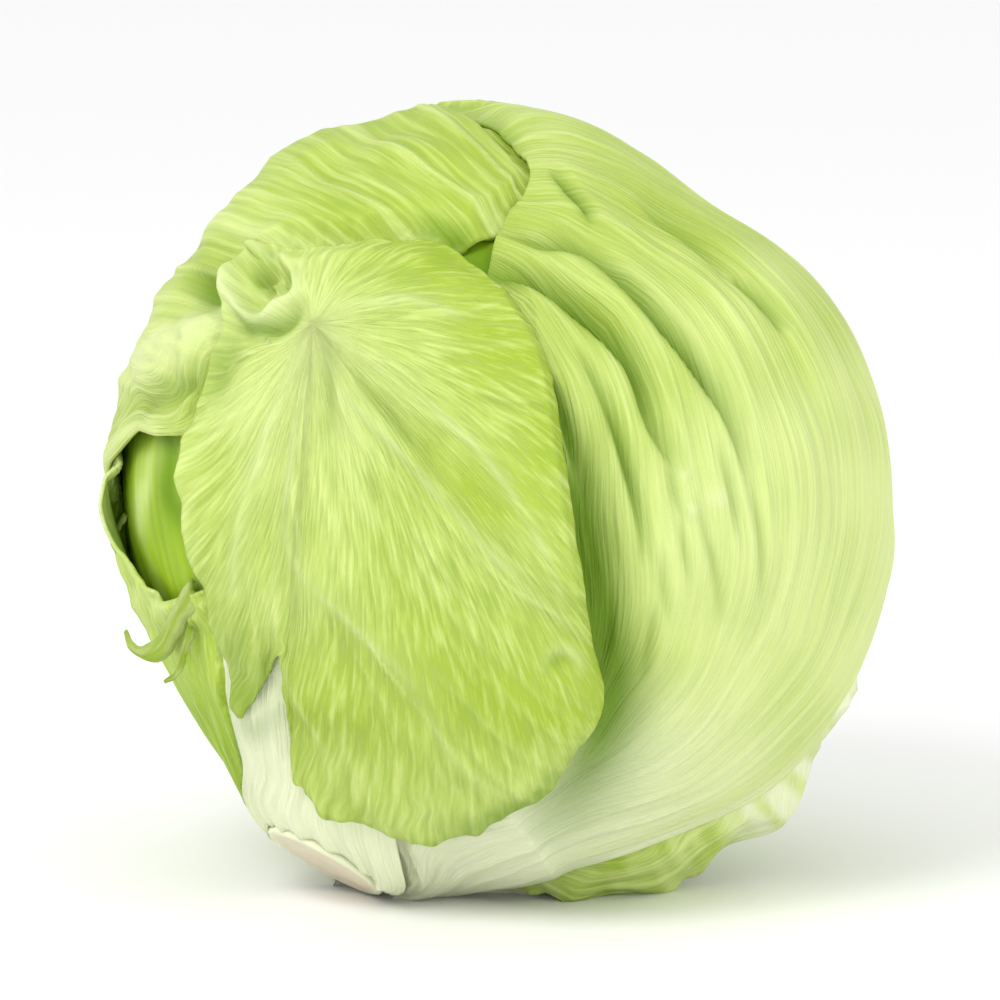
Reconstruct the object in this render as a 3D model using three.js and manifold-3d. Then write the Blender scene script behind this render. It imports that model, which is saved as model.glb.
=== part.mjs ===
// A whole head of iceberg lettuce as picked, lying on a small flat spot. Millimetres, +Z up.
// Every leaf is a thin shell over the round head. The leaves are made from the outside in, and each
// one is pressed clear of all that lies over it, as leaves are in a real head.
import * as THREE from "three";
import { mergeVertices } from "three/addons/utils/BufferGeometryUtils.js";
import Module from "manifold-3d";

const wasm = await Module();
wasm.setup();

// Driving sizes of the head
const HEAD_RADIUS = 82;
const CENTRE = new THREE.Vector3(0, -5, 83);
const DEGREE = Math.PI / 180;

// The forms are placed as seen from the front, from ten degrees above the surface
const LOOK_DOWN = 10 * DEGREE;
const RIGHT = new THREE.Vector3(1, 0, 0);
const UP = new THREE.Vector3(0, Math.sin(LOOK_DOWN), Math.cos(LOOK_DOWN));
const NEAR = new THREE.Vector3(0, -Math.cos(LOOK_DOWN), Math.sin(LOOK_DOWN));

// Radius of the front outline every 30 degrees, counterclockwise from the right
const OUTLINE_RADII = [83.4, 80.9, 75.8, 82.4, 84.2, 81.8, 82.4, 79.4, 82.5, 85.6, 85.8, 85.2];

// The stem leaves the head low at the left, and the leaves run from it to the pucker on the far side
const STEM = new THREE.Vector3(-36.7, -28.5, -75).normalize();
const STEM_CUT_NORMAL = new THREE.Vector3(-0.478, -0.318, -0.821).normalize();
const STEM_REACH = 88.2;
const STEM_RADIUS = 13.8;
const PUCKER = [-39.8, 40.3];
const NECK_RISE = 5.5;
const NECK_ANGLE = 9.5;
const NECK_WIDTH = 8;

// Spacing between leaves, and how steeply an inner leaf climbs back beside the edge of an outer one
const LEAF_GAP = 0.4;
const PRESS_REACH = 9;
const CLIMB = 0.4;

const clamp = (value, low, high) => Math.min(high, Math.max(low, value));
const mix = (a, b, t) => a + (b - a) * t;

function smooth(low, high, value) {
  const t = clamp((value - low) / (high - low), 0, 1);
  return t * t * (3 - 2 * t);
}

// A smooth function through a few [x, y] points, flat beyond its ends
function through(points) {
  return (x) => {
    const last = points.length - 1;
    if (x <= points[0][0]) return points[0][1];
    if (x >= points[last][0]) return points[last][1];
    const i = points.findIndex((p) => p[0] > x) - 1;
    const [a, b] = [points[i], points[i + 1]];
    const before = points[Math.max(i - 1, 0)];
    const after = points[Math.min(i + 2, last)];
    const span = b[0] - a[0];
    const t = (x - a[0]) / span;
    const m0 = ((b[1] - before[1]) / (b[0] - before[0])) * span;
    const m1 = ((after[1] - a[1]) / (after[0] - a[0])) * span;
    const t2 = t * t;
    const t3 = t2 * t;
    return (2 * t3 - 3 * t2 + 1) * a[1] + (t3 - 2 * t2 + t) * m0
      + (3 * t2 - 2 * t3) * b[1] + (t3 - t2) * m1;
  };
}

// Place in the front view of a direction: right, up and near, in millimetres on the plain ball
function inView(direction) {
  return [RIGHT, UP, NEAR].map((axis) => direction.dot(axis) * HEAD_RADIUS);
}

// Direction from the centre to the surface point that the front view shows there. The surface is the
// closed head, raised by lift. A point past the outline is drawn in to it.
function seen(right, up, lift = 0) {
  const reach = Math.hypot(right, up);
  let radius = HEAD_RADIUS;
  let way;
  for (let step = 0; step < 10; step += 1) {
    const scale = Math.min(1, (radius * 0.999) / Math.max(reach, 1e-6));
    const near = Math.sqrt(radius ** 2 - (reach * scale) ** 2);
    way = new THREE.Vector3().addScaledVector(RIGHT, right * scale)
      .addScaledVector(UP, up * scale).addScaledVector(NEAR, near).normalize();
    radius = headRadius(way) + lift;
  }
  return way;
}

// The leaf chart: meridians run from the stem to the pucker. around turns round the stem, from the
// side that faces the front, and along grows from the stem. Both are in degrees.
const TOWARD = NEAR.clone().addScaledVector(STEM, -NEAR.dot(STEM)).normalize();
const ASIDE = new THREE.Vector3().crossVectors(STEM, TOWARD);
const PUCKER_DIRECTION = seen(...PUCKER);
const TIP_ANGLE = Math.acos(PUCKER_DIRECTION.dot(STEM));
const TIP_TURN = Math.atan2(PUCKER_DIRECTION.dot(ASIDE), PUCKER_DIRECTION.dot(TOWARD));
const TIP = [Math.cos(TIP_TURN), Math.sin(TIP_TURN)].map((v) => v * Math.tan(TIP_ANGLE / 2));

function divide(a, b) {
  const size = b[0] ** 2 + b[1] ** 2;
  return [(a[0] * b[0] + a[1] * b[1]) / size, (a[1] * b[0] - a[0] * b[1]) / size];
}

function fromChart(around, along) {
  const size = Math.tan((along * DEGREE) / 2);
  const w = [size * Math.cos(around * DEGREE), size * Math.sin(around * DEGREE)];
  const ratio = divide(w, TIP);
  const z = divide(w, [1 + ratio[0], ratio[1]]);
  const angle = 2 * Math.atan(Math.hypot(...z));
  const turn = Math.atan2(z[1], z[0]);
  return new THREE.Vector3().addScaledVector(STEM, Math.cos(angle))
    .addScaledVector(TOWARD, Math.sin(angle) * Math.cos(turn))
    .addScaledVector(ASIDE, Math.sin(angle) * Math.sin(turn));
}

// Smooth noise between -1 and 1 from a fixed seed, on a lattice of whole numbers
function lattice(x, y, z) {
  const s = Math.sin(x * 127.1 + y * 311.7 + z * 74.7 + 5.3) * 43758.5453;
  return 2 * (s - Math.floor(s)) - 1;
}

function noise(point, size) {
  const [x, y, z] = [point.x / size, point.y / size, point.z / size];
  const [i, j, k] = [Math.floor(x), Math.floor(y), Math.floor(z)];
  const [u, v, w] = [smooth(0, 1, x - i), smooth(0, 1, y - j), smooth(0, 1, z - k)];
  const row = (b, c) => mix(lattice(i, b, c), lattice(i + 1, b, c), u);
  const sheet = (c) => mix(row(j, c), row(j + 1, c), v);
  return mix(sheet(k), sheet(k + 1), w);
}

// Radius of the closed head: the front outline, the neck at the stem, and the flat spot underneath
function headRadius(direction) {
  const [right, up, near] = inView(direction);
  const turn = ((Math.atan2(up, right) / DEGREE + 360) % 360) / 30;
  const i = Math.floor(turn);
  const radii = [-1, 0, 1, 2].map((step) => OUTLINE_RADII[(i + step + 12) % 12]);
  const outline = through(radii.map((radius, k) => [k - 1, radius]))(turn - i);
  const side = 1 - (near / HEAD_RADIUS) ** 2;
  const fromStem = Math.acos(clamp(direction.dot(STEM), -1, 1)) / DEGREE;
  const neck = NECK_RISE * Math.exp(-(((fromStem - NECK_ANGLE) / NECK_WIDTH) ** 2));
  return mix(HEAD_RADIUS, outline, side) + neck;
}

function aboveSurface(radius, direction) {
  return direction.z < 0 ? Math.min(radius, CENTRE.z / -direction.z) : radius;
}

// The clearance map: a ball of evenly spread directions, each with the radius left free under the
// leaves made so far
const MAP_SIZE = 5000;
const OPEN = 1000;
const mapDirections = Array.from({ length: MAP_SIZE }, (_, i) => {
  const z = 1 - (2 * i + 1) / MAP_SIZE;
  const turn = i * Math.PI * (3 - Math.sqrt(5));
  const flat = Math.sqrt(1 - z * z);
  return [flat * Math.cos(turn), flat * Math.sin(turn), z];
});
const mapFree = new Float64Array(MAP_SIZE).fill(OPEN);
const MAP_CELL = 2.4 * DEGREE;

function coverMap(direction, radius, reach = MAP_CELL) {
  const near = Math.cos(reach);
  mapDirections.forEach(([x, y, z], i) => {
    if (x * direction.x + y * direction.y + z * direction.z > near) {
      mapFree[i] = Math.min(mapFree[i], radius);
    }
  });
}

function freeRadius(direction, climb) {
  let free = OPEN;
  mapDirections.forEach(([x, y, z], i) => {
    if (mapFree[i] === OPEN) return;
    const cosine = x * direction.x + y * direction.y + z * direction.z;
    if (cosine < 0.3) return;
    const distance = Math.acos(Math.min(1, cosine)) * HEAD_RADIUS;
    free = Math.min(free, mapFree[i] + Math.max(0, distance - PRESS_REACH) * climb);
  });
  return free - LEAF_GAP;
}

// A closed shell from two alike grids of points, split into triangles alike on both faces. A grid
// that closes on itself round its first row has that row drawn together in one point.
function shellGeometry(outer, inner, round) {
  const rows = outer.length;
  const columns = outer[0].length;
  const points = [];
  const index = [];
  const place = (grid) => grid.map((line, i) => {
    if (round && i === 0) {
      points.push(line[0]);
      return line.map(() => points.length - 1);
    }
    return line.map((point) => points.push(point) - 1);
  });
  const top = place(outer);
  const bottom = place(inner);
  const face = (...corners) => {
    if (new Set(corners).size === 3) index.push(...corners);
  };
  const quad = (a, b, c, d) => {
    face(a, b, c);
    face(a, c, d);
  };
  const spans = round ? columns : columns - 1;
  for (let i = 0; i < rows - 1; i += 1) {
    for (let j = 0; j < spans; j += 1) {
      const k = (j + 1) % columns;
      quad(top[i][j], top[i][k], top[i + 1][k], top[i + 1][j]);
      quad(bottom[i][j], bottom[i + 1][j], bottom[i + 1][k], bottom[i][k]);
    }
  }
  for (let j = 0; j < spans; j += 1) {
    const k = (j + 1) % columns;
    quad(top[rows - 1][j], top[rows - 1][k], bottom[rows - 1][k], bottom[rows - 1][j]);
    if (!round) quad(top[0][k], top[0][j], bottom[0][j], bottom[0][k]);
  }
  const end = columns - 1;
  for (let i = 0; i < rows - 1 && !round; i += 1) {
    quad(top[i][0], top[i + 1][0], bottom[i + 1][0], bottom[i][0]);
    quad(top[i + 1][end], top[i][end], bottom[i][end], bottom[i + 1][end]);
  }
  const geometry = new THREE.BufferGeometry().setFromPoints(points);
  geometry.setIndex(facingOut(points, index));
  return geometry;
}

// Turns every triangle round where the shell encloses a negative volume
function facingOut(points, index) {
  let volume = 0;
  for (let i = 0; i < index.length; i += 3) {
    const [a, b, c] = index.slice(i, i + 3).map((k) => points[k]);
    volume += a.dot(b.clone().cross(c));
  }
  return volume > 0 ? index : index.reverse();
}

function solidOf(geometry) {
  const plain = new THREE.BufferGeometry();
  plain.setAttribute("position", geometry.getAttribute("position").clone());
  plain.setIndex(geometry.getIndex());
  const merged = mergeVertices(plain, 1e-4);
  const vertProperties = new Float32Array(merged.getAttribute("position").array);
  const triVerts = new Uint32Array(merged.getIndex().array);
  return new wasm.Manifold(new wasm.Mesh({ numProp: 3, vertProperties, triVerts }));
}

function geometryOf(solid) {
  const mesh = solid.getMesh();
  const geometry = new THREE.BufferGeometry();
  geometry.setAttribute("position", new THREE.BufferAttribute(mesh.vertProperties, 3));
  geometry.setIndex(new THREE.BufferAttribute(mesh.triVerts, 1));
  return geometry;
}

// Lays a leaf: its directions are a grid, lift and thickness are functions of the place on it
function layLeaf({ rows, columns, direction, lift, thickness, climb = CLIMB, round = false, fuse }) {
  const outer = [];
  const inner = [];
  const laid = [];
  for (let i = 0; i <= rows; i += 1) {
    const v = i / rows;
    outer.push([]);
    inner.push([]);
    for (let j = 0; j < columns + (round ? 0 : 1); j += 1) {
      const u = j / columns;
      const way = direction(u, v);
      const wanted = aboveSurface(headRadius(way) + lift(u, v, way), way);
      const high = mix(Math.min(wanted, freeRadius(way, climb)), wanted, fuse ? fuse(way) : 0);
      const low = high - thickness(u, v);
      outer[i].push(way.clone().multiplyScalar(high).add(CENTRE));
      inner[i].push(way.clone().multiplyScalar(low).add(CENTRE));
      laid.push([i, j, way, low]);
    }
  }
  coverUnder(inner, round);
  return shellGeometry(outer, inner, round);
}

// Marks the map under a leaf, at its grid points and halfway between them
function coverUnder(inner, round) {
  const mark = (point) => {
    const way = point.clone().sub(CENTRE);
    const radius = way.length();
    coverMap(way.divideScalar(radius), radius);
  };
  inner.forEach((line, i) => {
    line.forEach((point, j) => {
      mark(point);
      const beside = line[j + 1] ?? (round ? line[0] : null);
      const below = inner[i + 1]?.[j];
      if (beside) mark(point.clone().lerp(beside, 0.5));
      if (below) mark(point.clone().lerp(below, 0.5));
      if (beside && below) {
        const across = inner[i + 1][(j + 1) % line.length];
        mark(point.clone().lerp(across, 0.5));
      }
    });
  });
}

// A leaf between two side edges of the chart, from its base to its tip
function sectorLeaf({ rows, columns, base, tip, left, right, lift, thickness, climb, fuse }) {
  const [tipAt, leftAt, rightAt] = [tip, left, right].map(through);
  const along = (u, v) => mix(base, tipAt(u), v);
  const direction = (u, v) => {
    const beta = along(u, v);
    return fromChart(mix(leftAt(beta), rightAt(beta), u), beta);
  };
  return layLeaf({ rows, columns, direction, lift, thickness, climb, fuse });
}

// Thickness of a leaf: a stout white rib at the base, a thin blade at the sides and the tip
function ribbed(base, edge) {
  return (u, v) => mix(edge, base, (1 - smooth(0.05, 0.75, v)) * Math.sin(Math.PI * mix(0.12, 0.88, u)));
}

// Distance of a place in the front view from a drawn line: how far, on which side, and where along
function beside(line, x, y) {
  let best = { distance: Infinity, side: 0, along: 0 };
  for (let i = 0; i < line.length - 1; i += 1) {
    const [ax, ay] = [line[i].x, line[i].y];
    const [dx, dy] = [line[i + 1].x - ax, line[i + 1].y - ay];
    const t = clamp(((x - ax) * dx + (y - ay) * dy) / (dx * dx + dy * dy), 0, 1);
    const [ox, oy] = [x - ax - t * dx, y - ay - t * dy];
    const distance = Math.hypot(ox, oy);
    if (distance < best.distance) {
      best = { distance, side: Math.sign(dx * oy - dy * ox), along: (i + t) / (line.length - 1) };
    }
  }
  return best;
}

function drawn(points, closed = false, steps = 40) {
  const curve = new THREE.CatmullRomCurve3(points.map(([x, y]) => new THREE.Vector3(x, y, 0)), closed);
  return curve.getSpacedPoints(steps);
}

// Pleats of the right leaf, drawn in the front view: a crisp lip on the right-hand side of the way
// they run, falling at once into a fold that opens out gently on the other side
const PLEATS = [
  { line: [[-12, 53], [-2, 46.6], [13, 40.3], [26, 27.5], [32, 12.7], [39, 3]], depth: 5, width: 11 },
  { line: [[-1, 56], [7, 52], [21, 49], [34, 34], [45, 19], [52, 2]], depth: 4.5, width: 10 },
  { line: [[15.7, 31], [22.5, 17], [27.5, 3], [30, -8], [31, -18]], depth: 2, width: 6 },
].map((pleat) => ({ ...pleat, line: drawn(pleat.line) }));

// The hollow in the right leaf beside the edge of the front leaf
const HOLLOW = {
  line: drawn([[10, 27], [14.5, 8.5], [18, -10.6], [22, -30], [24, -45], [18, -60], [6, -70]]),
  depth: 7, width: 10,
};

function pleatDepth(way) {
  const [x, y, near] = inView(way);
  if (near < 0) return 0;
  const folds = PLEATS.reduce((sum, { line, depth, width }) => {
    const { distance, side, along } = beside(line, x, y);
    const reach = side > 0 ? 1 - smooth(0, width, distance) : 1 - smooth(0, width * 0.3, distance);
    return sum + depth * reach * Math.sin(Math.PI * clamp(along, 0.02, 0.98)) ** 0.6;
  }, 0);
  const { distance, along } = beside(HOLLOW.line, x, y);
  const across = Math.exp(-((distance / HOLLOW.width) ** 2));
  return folds + HOLLOW.depth * across * Math.sin(Math.PI * along) ** 0.5;
}

// The broad blade of the front leaf, folded over from the top left, as an outline in the front view
const FRONT_FOCUS = [-38, 34];
const FRONT_OUTLINE = [
  [-52.5, 50.8], [-35.6, 53.4], [-14.4, 53.8], [-2.3, 46.2], [4.7, 38.1], [10, 26.5], [13.8, 8.5],
  [16.3, -10.6], [19.9, -31.8], [22.2, -44.5], [15.3, -57.2], [10, -63.6], [0.4, -68.9],
  [-12.3, -72], [-21.8, -71], [-31.4, -68.9], [-38.8, -65.7], [-42.6, -57.2], [-44.1, -44.5],
  [-45.1, -33.9], [-50, -42.4], [-54, -47], [-56.8, -37.1], [-60, -25.4], [-63.8, -11.7],
  [-65.7, 0], [-65.3, 10.6], [-63.1, 19.1], [-58.5, 27.5], [-54.7, 33.9], [-54.7, 42.4],
];
const FRONT_LIFT = 1.5;
const FRONT_COLUMNS = 72;
const FRONT_ROWS = 14;
const FRONT_THICKNESS = 1;

function frontBlade() {
  const edge = drawn(FRONT_OUTLINE, true, FRONT_COLUMNS).slice(0, FRONT_COLUMNS);
  const direction = (u, v) => {
    const at = edge[Math.round(u * FRONT_COLUMNS) % FRONT_COLUMNS];
    return seen(mix(FRONT_FOCUS[0], at.x, v), mix(FRONT_FOCUS[1], at.y, v), FRONT_LIFT);
  };
  const lift = (u, v, way) => {
    const wave = Math.sin(u * Math.PI * 2 * 13) * smooth(0.75, 1, v);
    return FRONT_LIFT + 0.8 * noise(way.clone().multiplyScalar(HEAD_RADIUS), 16) + 1.2 * wave;
  };
  const thickness = (u, v) => mix(1.8, FRONT_THICKNESS, smooth(0, 0.6, v));
  return layLeaf({ rows: FRONT_ROWS, columns: FRONT_COLUMNS, direction, lift, thickness, round: true });
}

// The white limb of the front leaf, from the stem up under its blade to the pucker
const FUSE_REACH = 17;
const FUSE_RISE = 0.6;

function frontLimb() {
  const fuse = (way) => {
    const distance = way.angleTo(PUCKER_DIRECTION) * HEAD_RADIUS;
    return 1 - smooth(FUSE_REACH - 5, FUSE_REACH, distance);
  };
  return sectorLeaf({
    rows: 21, columns: 9, base: 9.6, tip: [[0, 164], [1, 164]],
    left: [[10, -92], [15, -50], [22, -30], [63, -20], [100, -16], [150, -40]],
    right: [[10, 118], [14, 100], [20, 72], [27, 63], [44, 54], [63, 50], [100, 47], [150, 75]],
    lift: (u, v) => FUSE_RISE * v, thickness: ribbed(4.5, 1.4), fuse,
  });
}

function frontLeaf() {
  const blade = solidOf(frontBlade());
  const limb = solidOf(frontLimb());
  return geometryOf(blade.add(limb));
}

function rightLeaf() {
  const ruffle = (u, v, way) => {
    const lump = noise(way.clone().multiplyScalar(HEAD_RADIUS), 14);
    return 1.2 * lump * smooth(0.2, 0.6, v);
  };
  return sectorLeaf({
    rows: 32, columns: 20, base: 10,
    tip: [[0, 136], [0.25, 138], [0.45, 135], [0.62, 128], [0.8, 123], [1, 114]],
    left: [[10, -90], [20, -35], [40, -40], [62, -42], [90, -40], [105, -46], [119, -54], [138, -72]],
    right: [[10, -150], [15, -118], [20, -99], [25, -92], [30, -88], [35, -89], [40, -92],
      [45, -98], [50, -106], [56, -112], [66, -122], [80, -134], [115, -157]],
    lift: (u, v, way) => ruffle(u, v, way) - pleatDepth(way), thickness: ribbed(3.4, 1.2),
  });
}

function lowerRightLeaf() {
  const lift = (u, v) => 6.5 * smooth(0.55, 1, u) * smooth(0.2, 0.4, v) * (0.8 + 0.2 * Math.sin(v * 30));
  return sectorLeaf({
    rows: 14, columns: 12, base: 13, tip: [[0, 62], [0.5, 68], [1, 64]],
    left: [[13, -70], [30, -66], [70, -80]],
    right: [[13, -108], [22, -99], [28, -101], [32, -107], [38, -112], [42, -110],
      [46, -114], [53, -112], [58, -117], [68, -118]],
    lift, thickness: ribbed(2.4, 1), climb: 0.9,
  });
}

function topLeftLeaf() {
  const lift = (u, v, way) => {
    const rim = (1 - smooth(0, 0.14, u)) * smooth(0.45, 0.6, v);
    return 1.5 * rim + 1.1 * noise(way.clone().multiplyScalar(HEAD_RADIUS), 13);
  };
  return sectorLeaf({
    rows: 25, columns: 20, base: 12, tip: [[0, 150], [0.3, 162], [0.5, 170], [0.75, 168], [1, 158]],
    left: [[10, 150], [40, 150], [60, 138], [77, 125], [88, 118], [97, 110], [109, 102], [116, 88],
      [125, 76], [145, 84]],
    right: [[10, 195], [60, 190], [100, 205], [115, 224], [128, 242], [138, 256], [150, 262]],
    lift, thickness: ribbed(3, 1.1),
  });
}

function lowerLeftLeaf() {
  const lift = (u, v) => 2.5 * smooth(0.75, 1, v) * (0.6 + 0.4 * Math.sin(u * 22));
  return sectorLeaf({
    rows: 14, columns: 10, base: 11,
    tip: [[0, 78], [0.2, 72], [0.4, 66], [0.6, 74], [0.75, 92], [1, 92]],
    left: [[10, 95], [20, 58], [44, 47], [63, 44], [84, 50]],
    right: [[10, 165], [30, 150], [50, 140], [77, 135], [100, 128]],
    lift, thickness: ribbed(2.6, 1),
  });
}

function backOuterLeaf() {
  const lift = (u, v) => {
    const margin = smooth(0.7, 1, Math.max(v, Math.abs(2 * u - 1)));
    return 2 * margin * (0.5 + 0.5 * Math.sin(u * 40 + v * 25));
  };
  return sectorLeaf({
    rows: 13, columns: 14, base: 10.5, tip: [[0, 50], [0.25, 64], [0.6, 68], [0.85, 60], [1, 48]],
    left: [[10, 145], [25, 152], [45, 160], [68, 168]],
    right: [[10, 195], [25, 196], [45, 204], [68, 208]],
    lift, thickness: ribbed(3.2, 1),
  });
}

function backLeaf() {
  const lift = (u, v, way) => {
    const lump = noise(way.clone().multiplyScalar(HEAD_RADIUS), 15);
    return 1.2 * lump * smooth(0.3, 0.5, v);
  };
  return sectorLeaf({
    rows: 24, columns: 18, base: 12, tip: [[0, 112], [0.5, 120], [1, 118]],
    left: [[10, 180], [60, 182], [118, 190]],
    right: [[10, 265], [30, 270], [60, 262], [90, 256], [118, 244]],
    lift, thickness: ribbed(3, 1.1), climb: 0.9,
  });
}

// The dense inner head, a closed ball under everything, and clear of the core of the stem
const HEART_ROWS = 20;
const HEART_COLUMNS = 30;
const HEART_DROP = 2.5;
const CORE_DEPTH = 24;

function heart() {
  coverMap(STEM, STEM_REACH - CORE_DEPTH - 2, 12 * DEGREE);
  const ball = new THREE.SphereGeometry(1, HEART_COLUMNS, HEART_ROWS);
  const turn = new THREE.Quaternion().setFromUnitVectors(new THREE.Vector3(0, 1, 0), STEM);
  ball.applyQuaternion(turn);
  ball.deleteAttribute("normal");
  ball.deleteAttribute("uv");
  const merged = mergeVertices(ball, 1e-4);
  const position = merged.getAttribute("position");
  for (let i = 0; i < position.count; i += 1) {
    const way = new THREE.Vector3().fromBufferAttribute(position, i).normalize();
    const radius = Math.min(aboveSurface(headRadius(way), way) - HEART_DROP, freeRadius(way, CLIMB));
    const point = way.multiplyScalar(radius).add(CENTRE);
    position.setXYZ(i, point.x, point.y, point.z);
  }
  return merged;
}

// The stump: a flat cut, and a core that narrows into the head
function stemCore() {
  const profile = [
    [0, 0], [STEM_RADIUS - 0.6, 0], [STEM_RADIUS, -0.6], [12.6, -3.5], [11, -10], [8.5, -CORE_DEPTH + 1],
    [7, -CORE_DEPTH], [0, -CORE_DEPTH],
  ].map(([radius, height]) => new THREE.Vector2(radius, height)).reverse();
  const geometry = new THREE.LatheGeometry(profile, 32);
  geometry.applyQuaternion(
    new THREE.Quaternion().setFromUnitVectors(new THREE.Vector3(0, 1, 0), STEM_CUT_NORMAL),
  );
  geometry.translate(...STEM.clone().multiplyScalar(STEM_REACH).add(CENTRE).toArray());
  return geometry;
}

function named(name, geometry, color) {
  const mesh = new THREE.Mesh(geometry, new THREE.MeshStandardMaterial({ color, roughness: 0.45 }));
  mesh.name = name;
  return mesh;
}

// From the outside in, so that each leaf is pressed clear of the ones made before it
const head = new THREE.Group();
head.add(
  named("leaf_front", frontLeaf(), 0xc4de72),
  named("leaf_back_outer", backOuterLeaf(), 0xb4d058),
  named("leaf_right", rightLeaf(), 0xdcebac),
  named("leaf_lower_right", lowerRightLeaf(), 0xb8d468),
  named("leaf_top_left", topLeftLeaf(), 0xc8e07a),
  named("leaf_lower_left", lowerLeftLeaf(), 0xa8c83a),
  named("leaf_back", backLeaf(), 0xc6dc80),
  named("heart", heart(), 0xb0cc50),
  named("stem", stemCore(), 0xd6cfb4),
);

export default head;
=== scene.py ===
# The finished leaves, heart and stem of a whole iceberg lettuce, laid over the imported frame.
import math

import bpy
import numpy as np
from mathutils.kdtree import KDTree
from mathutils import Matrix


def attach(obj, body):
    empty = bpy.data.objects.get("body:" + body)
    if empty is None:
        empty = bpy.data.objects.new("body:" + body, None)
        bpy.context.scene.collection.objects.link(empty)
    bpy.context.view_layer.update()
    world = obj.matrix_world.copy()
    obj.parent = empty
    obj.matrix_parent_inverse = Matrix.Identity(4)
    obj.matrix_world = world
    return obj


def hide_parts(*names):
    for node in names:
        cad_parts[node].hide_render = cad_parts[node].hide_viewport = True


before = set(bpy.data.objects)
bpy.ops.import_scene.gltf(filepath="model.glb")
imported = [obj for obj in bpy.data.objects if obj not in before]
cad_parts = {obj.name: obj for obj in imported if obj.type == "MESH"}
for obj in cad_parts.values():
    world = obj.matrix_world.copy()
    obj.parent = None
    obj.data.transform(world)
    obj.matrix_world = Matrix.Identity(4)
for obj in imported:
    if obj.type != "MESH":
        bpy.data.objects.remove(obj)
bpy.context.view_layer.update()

bl_info = {
    "name": "Iceberg Lettuce",
    "version": (1, 0, 0),
    "blender": (4, 5, 0),
    "location": "View3D > Sidebar > Lettuce",
    "description": "Lays the wrapper leaves of a crisp head over its solids",
    "category": "Object",
}

# Sizes are in millimetres until a mesh is placed. The distance within which points are merged, the
# sizes in the panel, the materials and the lights are in metres.
MM = 0.001
MERGE_DISTANCE = 0.00001

# The head in millimetres, as its solids have it: a ball with a measured outline, a neck at the
# stem and a flat spot. The outline's radii are evenly spread round the front view.
HEAD_RADIUS = 82.0
CENTRE = np.array((0.0, -5.0, 83.0))
LOOK_DOWN = math.radians(10)
RIGHT = np.array((1.0, 0.0, 0.0))
UP = np.array((0.0, math.sin(LOOK_DOWN), math.cos(LOOK_DOWN)))
NEAR = np.array((0.0, -math.cos(LOOK_DOWN), math.sin(LOOK_DOWN)))
OUTLINE_RADII = (83.4, 80.9, 75.8, 82.4, 84.2, 81.8, 82.4, 79.4, 82.5, 85.6, 85.8, 85.2)
STEM_REACH = 88.2
STEM_RADIUS = 13.8
NECK_RISE = 5.5
NECK_ANGLE = 9.5
NECK_WIDTH = 8.0
PUCKER = (-39.8, 40.3)
SETTLING_ROUNDS = 10

# How a leaf lies under the others: the radius where nothing lies over it, the gap it keeps, how
# far a point presses beside itself, the rows and columns that the press is worked out on, and how
# much of its relief, up to a limit, still shows where it is pressed
OPEN = 1000.0
LEAF_GAP = 0.45
PRESS_REACH = 0.8
PRESS_GRID = (84, 72)
PRESSED_SHARE = 0.35
PRESSED_LIMIT = 0.4

# Steps in which the thickness of a leaf changes from its stout foot to its edge
STOUT_STEPS = 12

# A line drawn through a few places of the front view: the steps that each stretch is worked out
# in, and the even steps that the whole line then has
CURVE_STEPS = 24
LINE_STEPS = 40


def unit(vector):
    vector = np.asarray(vector, float)
    return vector / np.linalg.norm(vector, axis=-1, keepdims=True)


STEM = unit((-36.7, -28.5, -75.0))
STEM_CUT_NORMAL = unit((-0.478, -0.318, -0.821))


def mix(a, b, t):
    return a + (b - a) * t


def smooth(low, high, value):
    t = np.clip((value - low) / (high - low), 0, 1)
    return t * t * (3 - 2 * t)


def hump(distance, width):
    """1 at no distance, fading to nothing within about two widths."""
    return np.exp(-((distance / width) ** 2))


def polar(x, y, at):
    """Distance and angle of places from one of them."""
    return np.hypot(x - at[0], y - at[1]), np.arctan2(y - at[1], x - at[0])


def cubic(t, ends, slopes, span):
    """A smooth curve from one value to the next, with the slopes given at its two ends."""
    value = (2 * t**3 - 3 * t**2 + 1) * ends[0] + (3 * t**2 - 2 * t**3) * ends[1]
    return value + ((t**3 - 2 * t**2 + t) * slopes[0] + (t**3 - t**2) * slopes[1]) * span


def through(points):
    """A smooth function through a few (x, y) points, flat beyond its ends."""
    xs, ys = np.array(points, float).T
    slopes = np.gradient(ys, xs)
    slopes[1:-1] = (ys[2:] - ys[:-2]) / (xs[2:] - xs[:-2])

    def at(x):
        x = np.clip(x, xs[0], xs[-1])
        i = np.clip(np.searchsorted(xs, x, side="right") - 1, 0, len(xs) - 2)
        span = xs[i + 1] - xs[i]
        return cubic((x - xs[i]) / span, (ys[i], ys[i + 1]), (slopes[i], slopes[i + 1]), span)

    return at


def in_view(ways):
    """Places of the front view, from the centre: to the right, up, and toward the viewer."""
    return [ways @ axis * HEAD_RADIUS for axis in (RIGHT, UP, NEAR)]


def head_radius(ways):
    """The head's radius in each direction."""
    right, up, near = in_view(ways)
    count = len(OUTLINE_RADII)
    turn = (np.degrees(np.arctan2(up, right)) % 360) / (360 / count)
    i = np.floor(turn).astype(int)
    r = [np.take(OUTLINE_RADII, (i + step) % count) for step in (-1, 0, 1, 2)]
    outline = cubic(turn - i, (r[1], r[2]), ((r[2] - r[0]) / 2, (r[3] - r[1]) / 2), 1)
    side = 1 - (near / HEAD_RADIUS) ** 2
    from_stem = np.degrees(np.arccos(np.clip(ways @ STEM, -1, 1)))
    return mix(HEAD_RADIUS, outline, side) + NECK_RISE * hump(from_stem - NECK_ANGLE, NECK_WIDTH)


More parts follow.
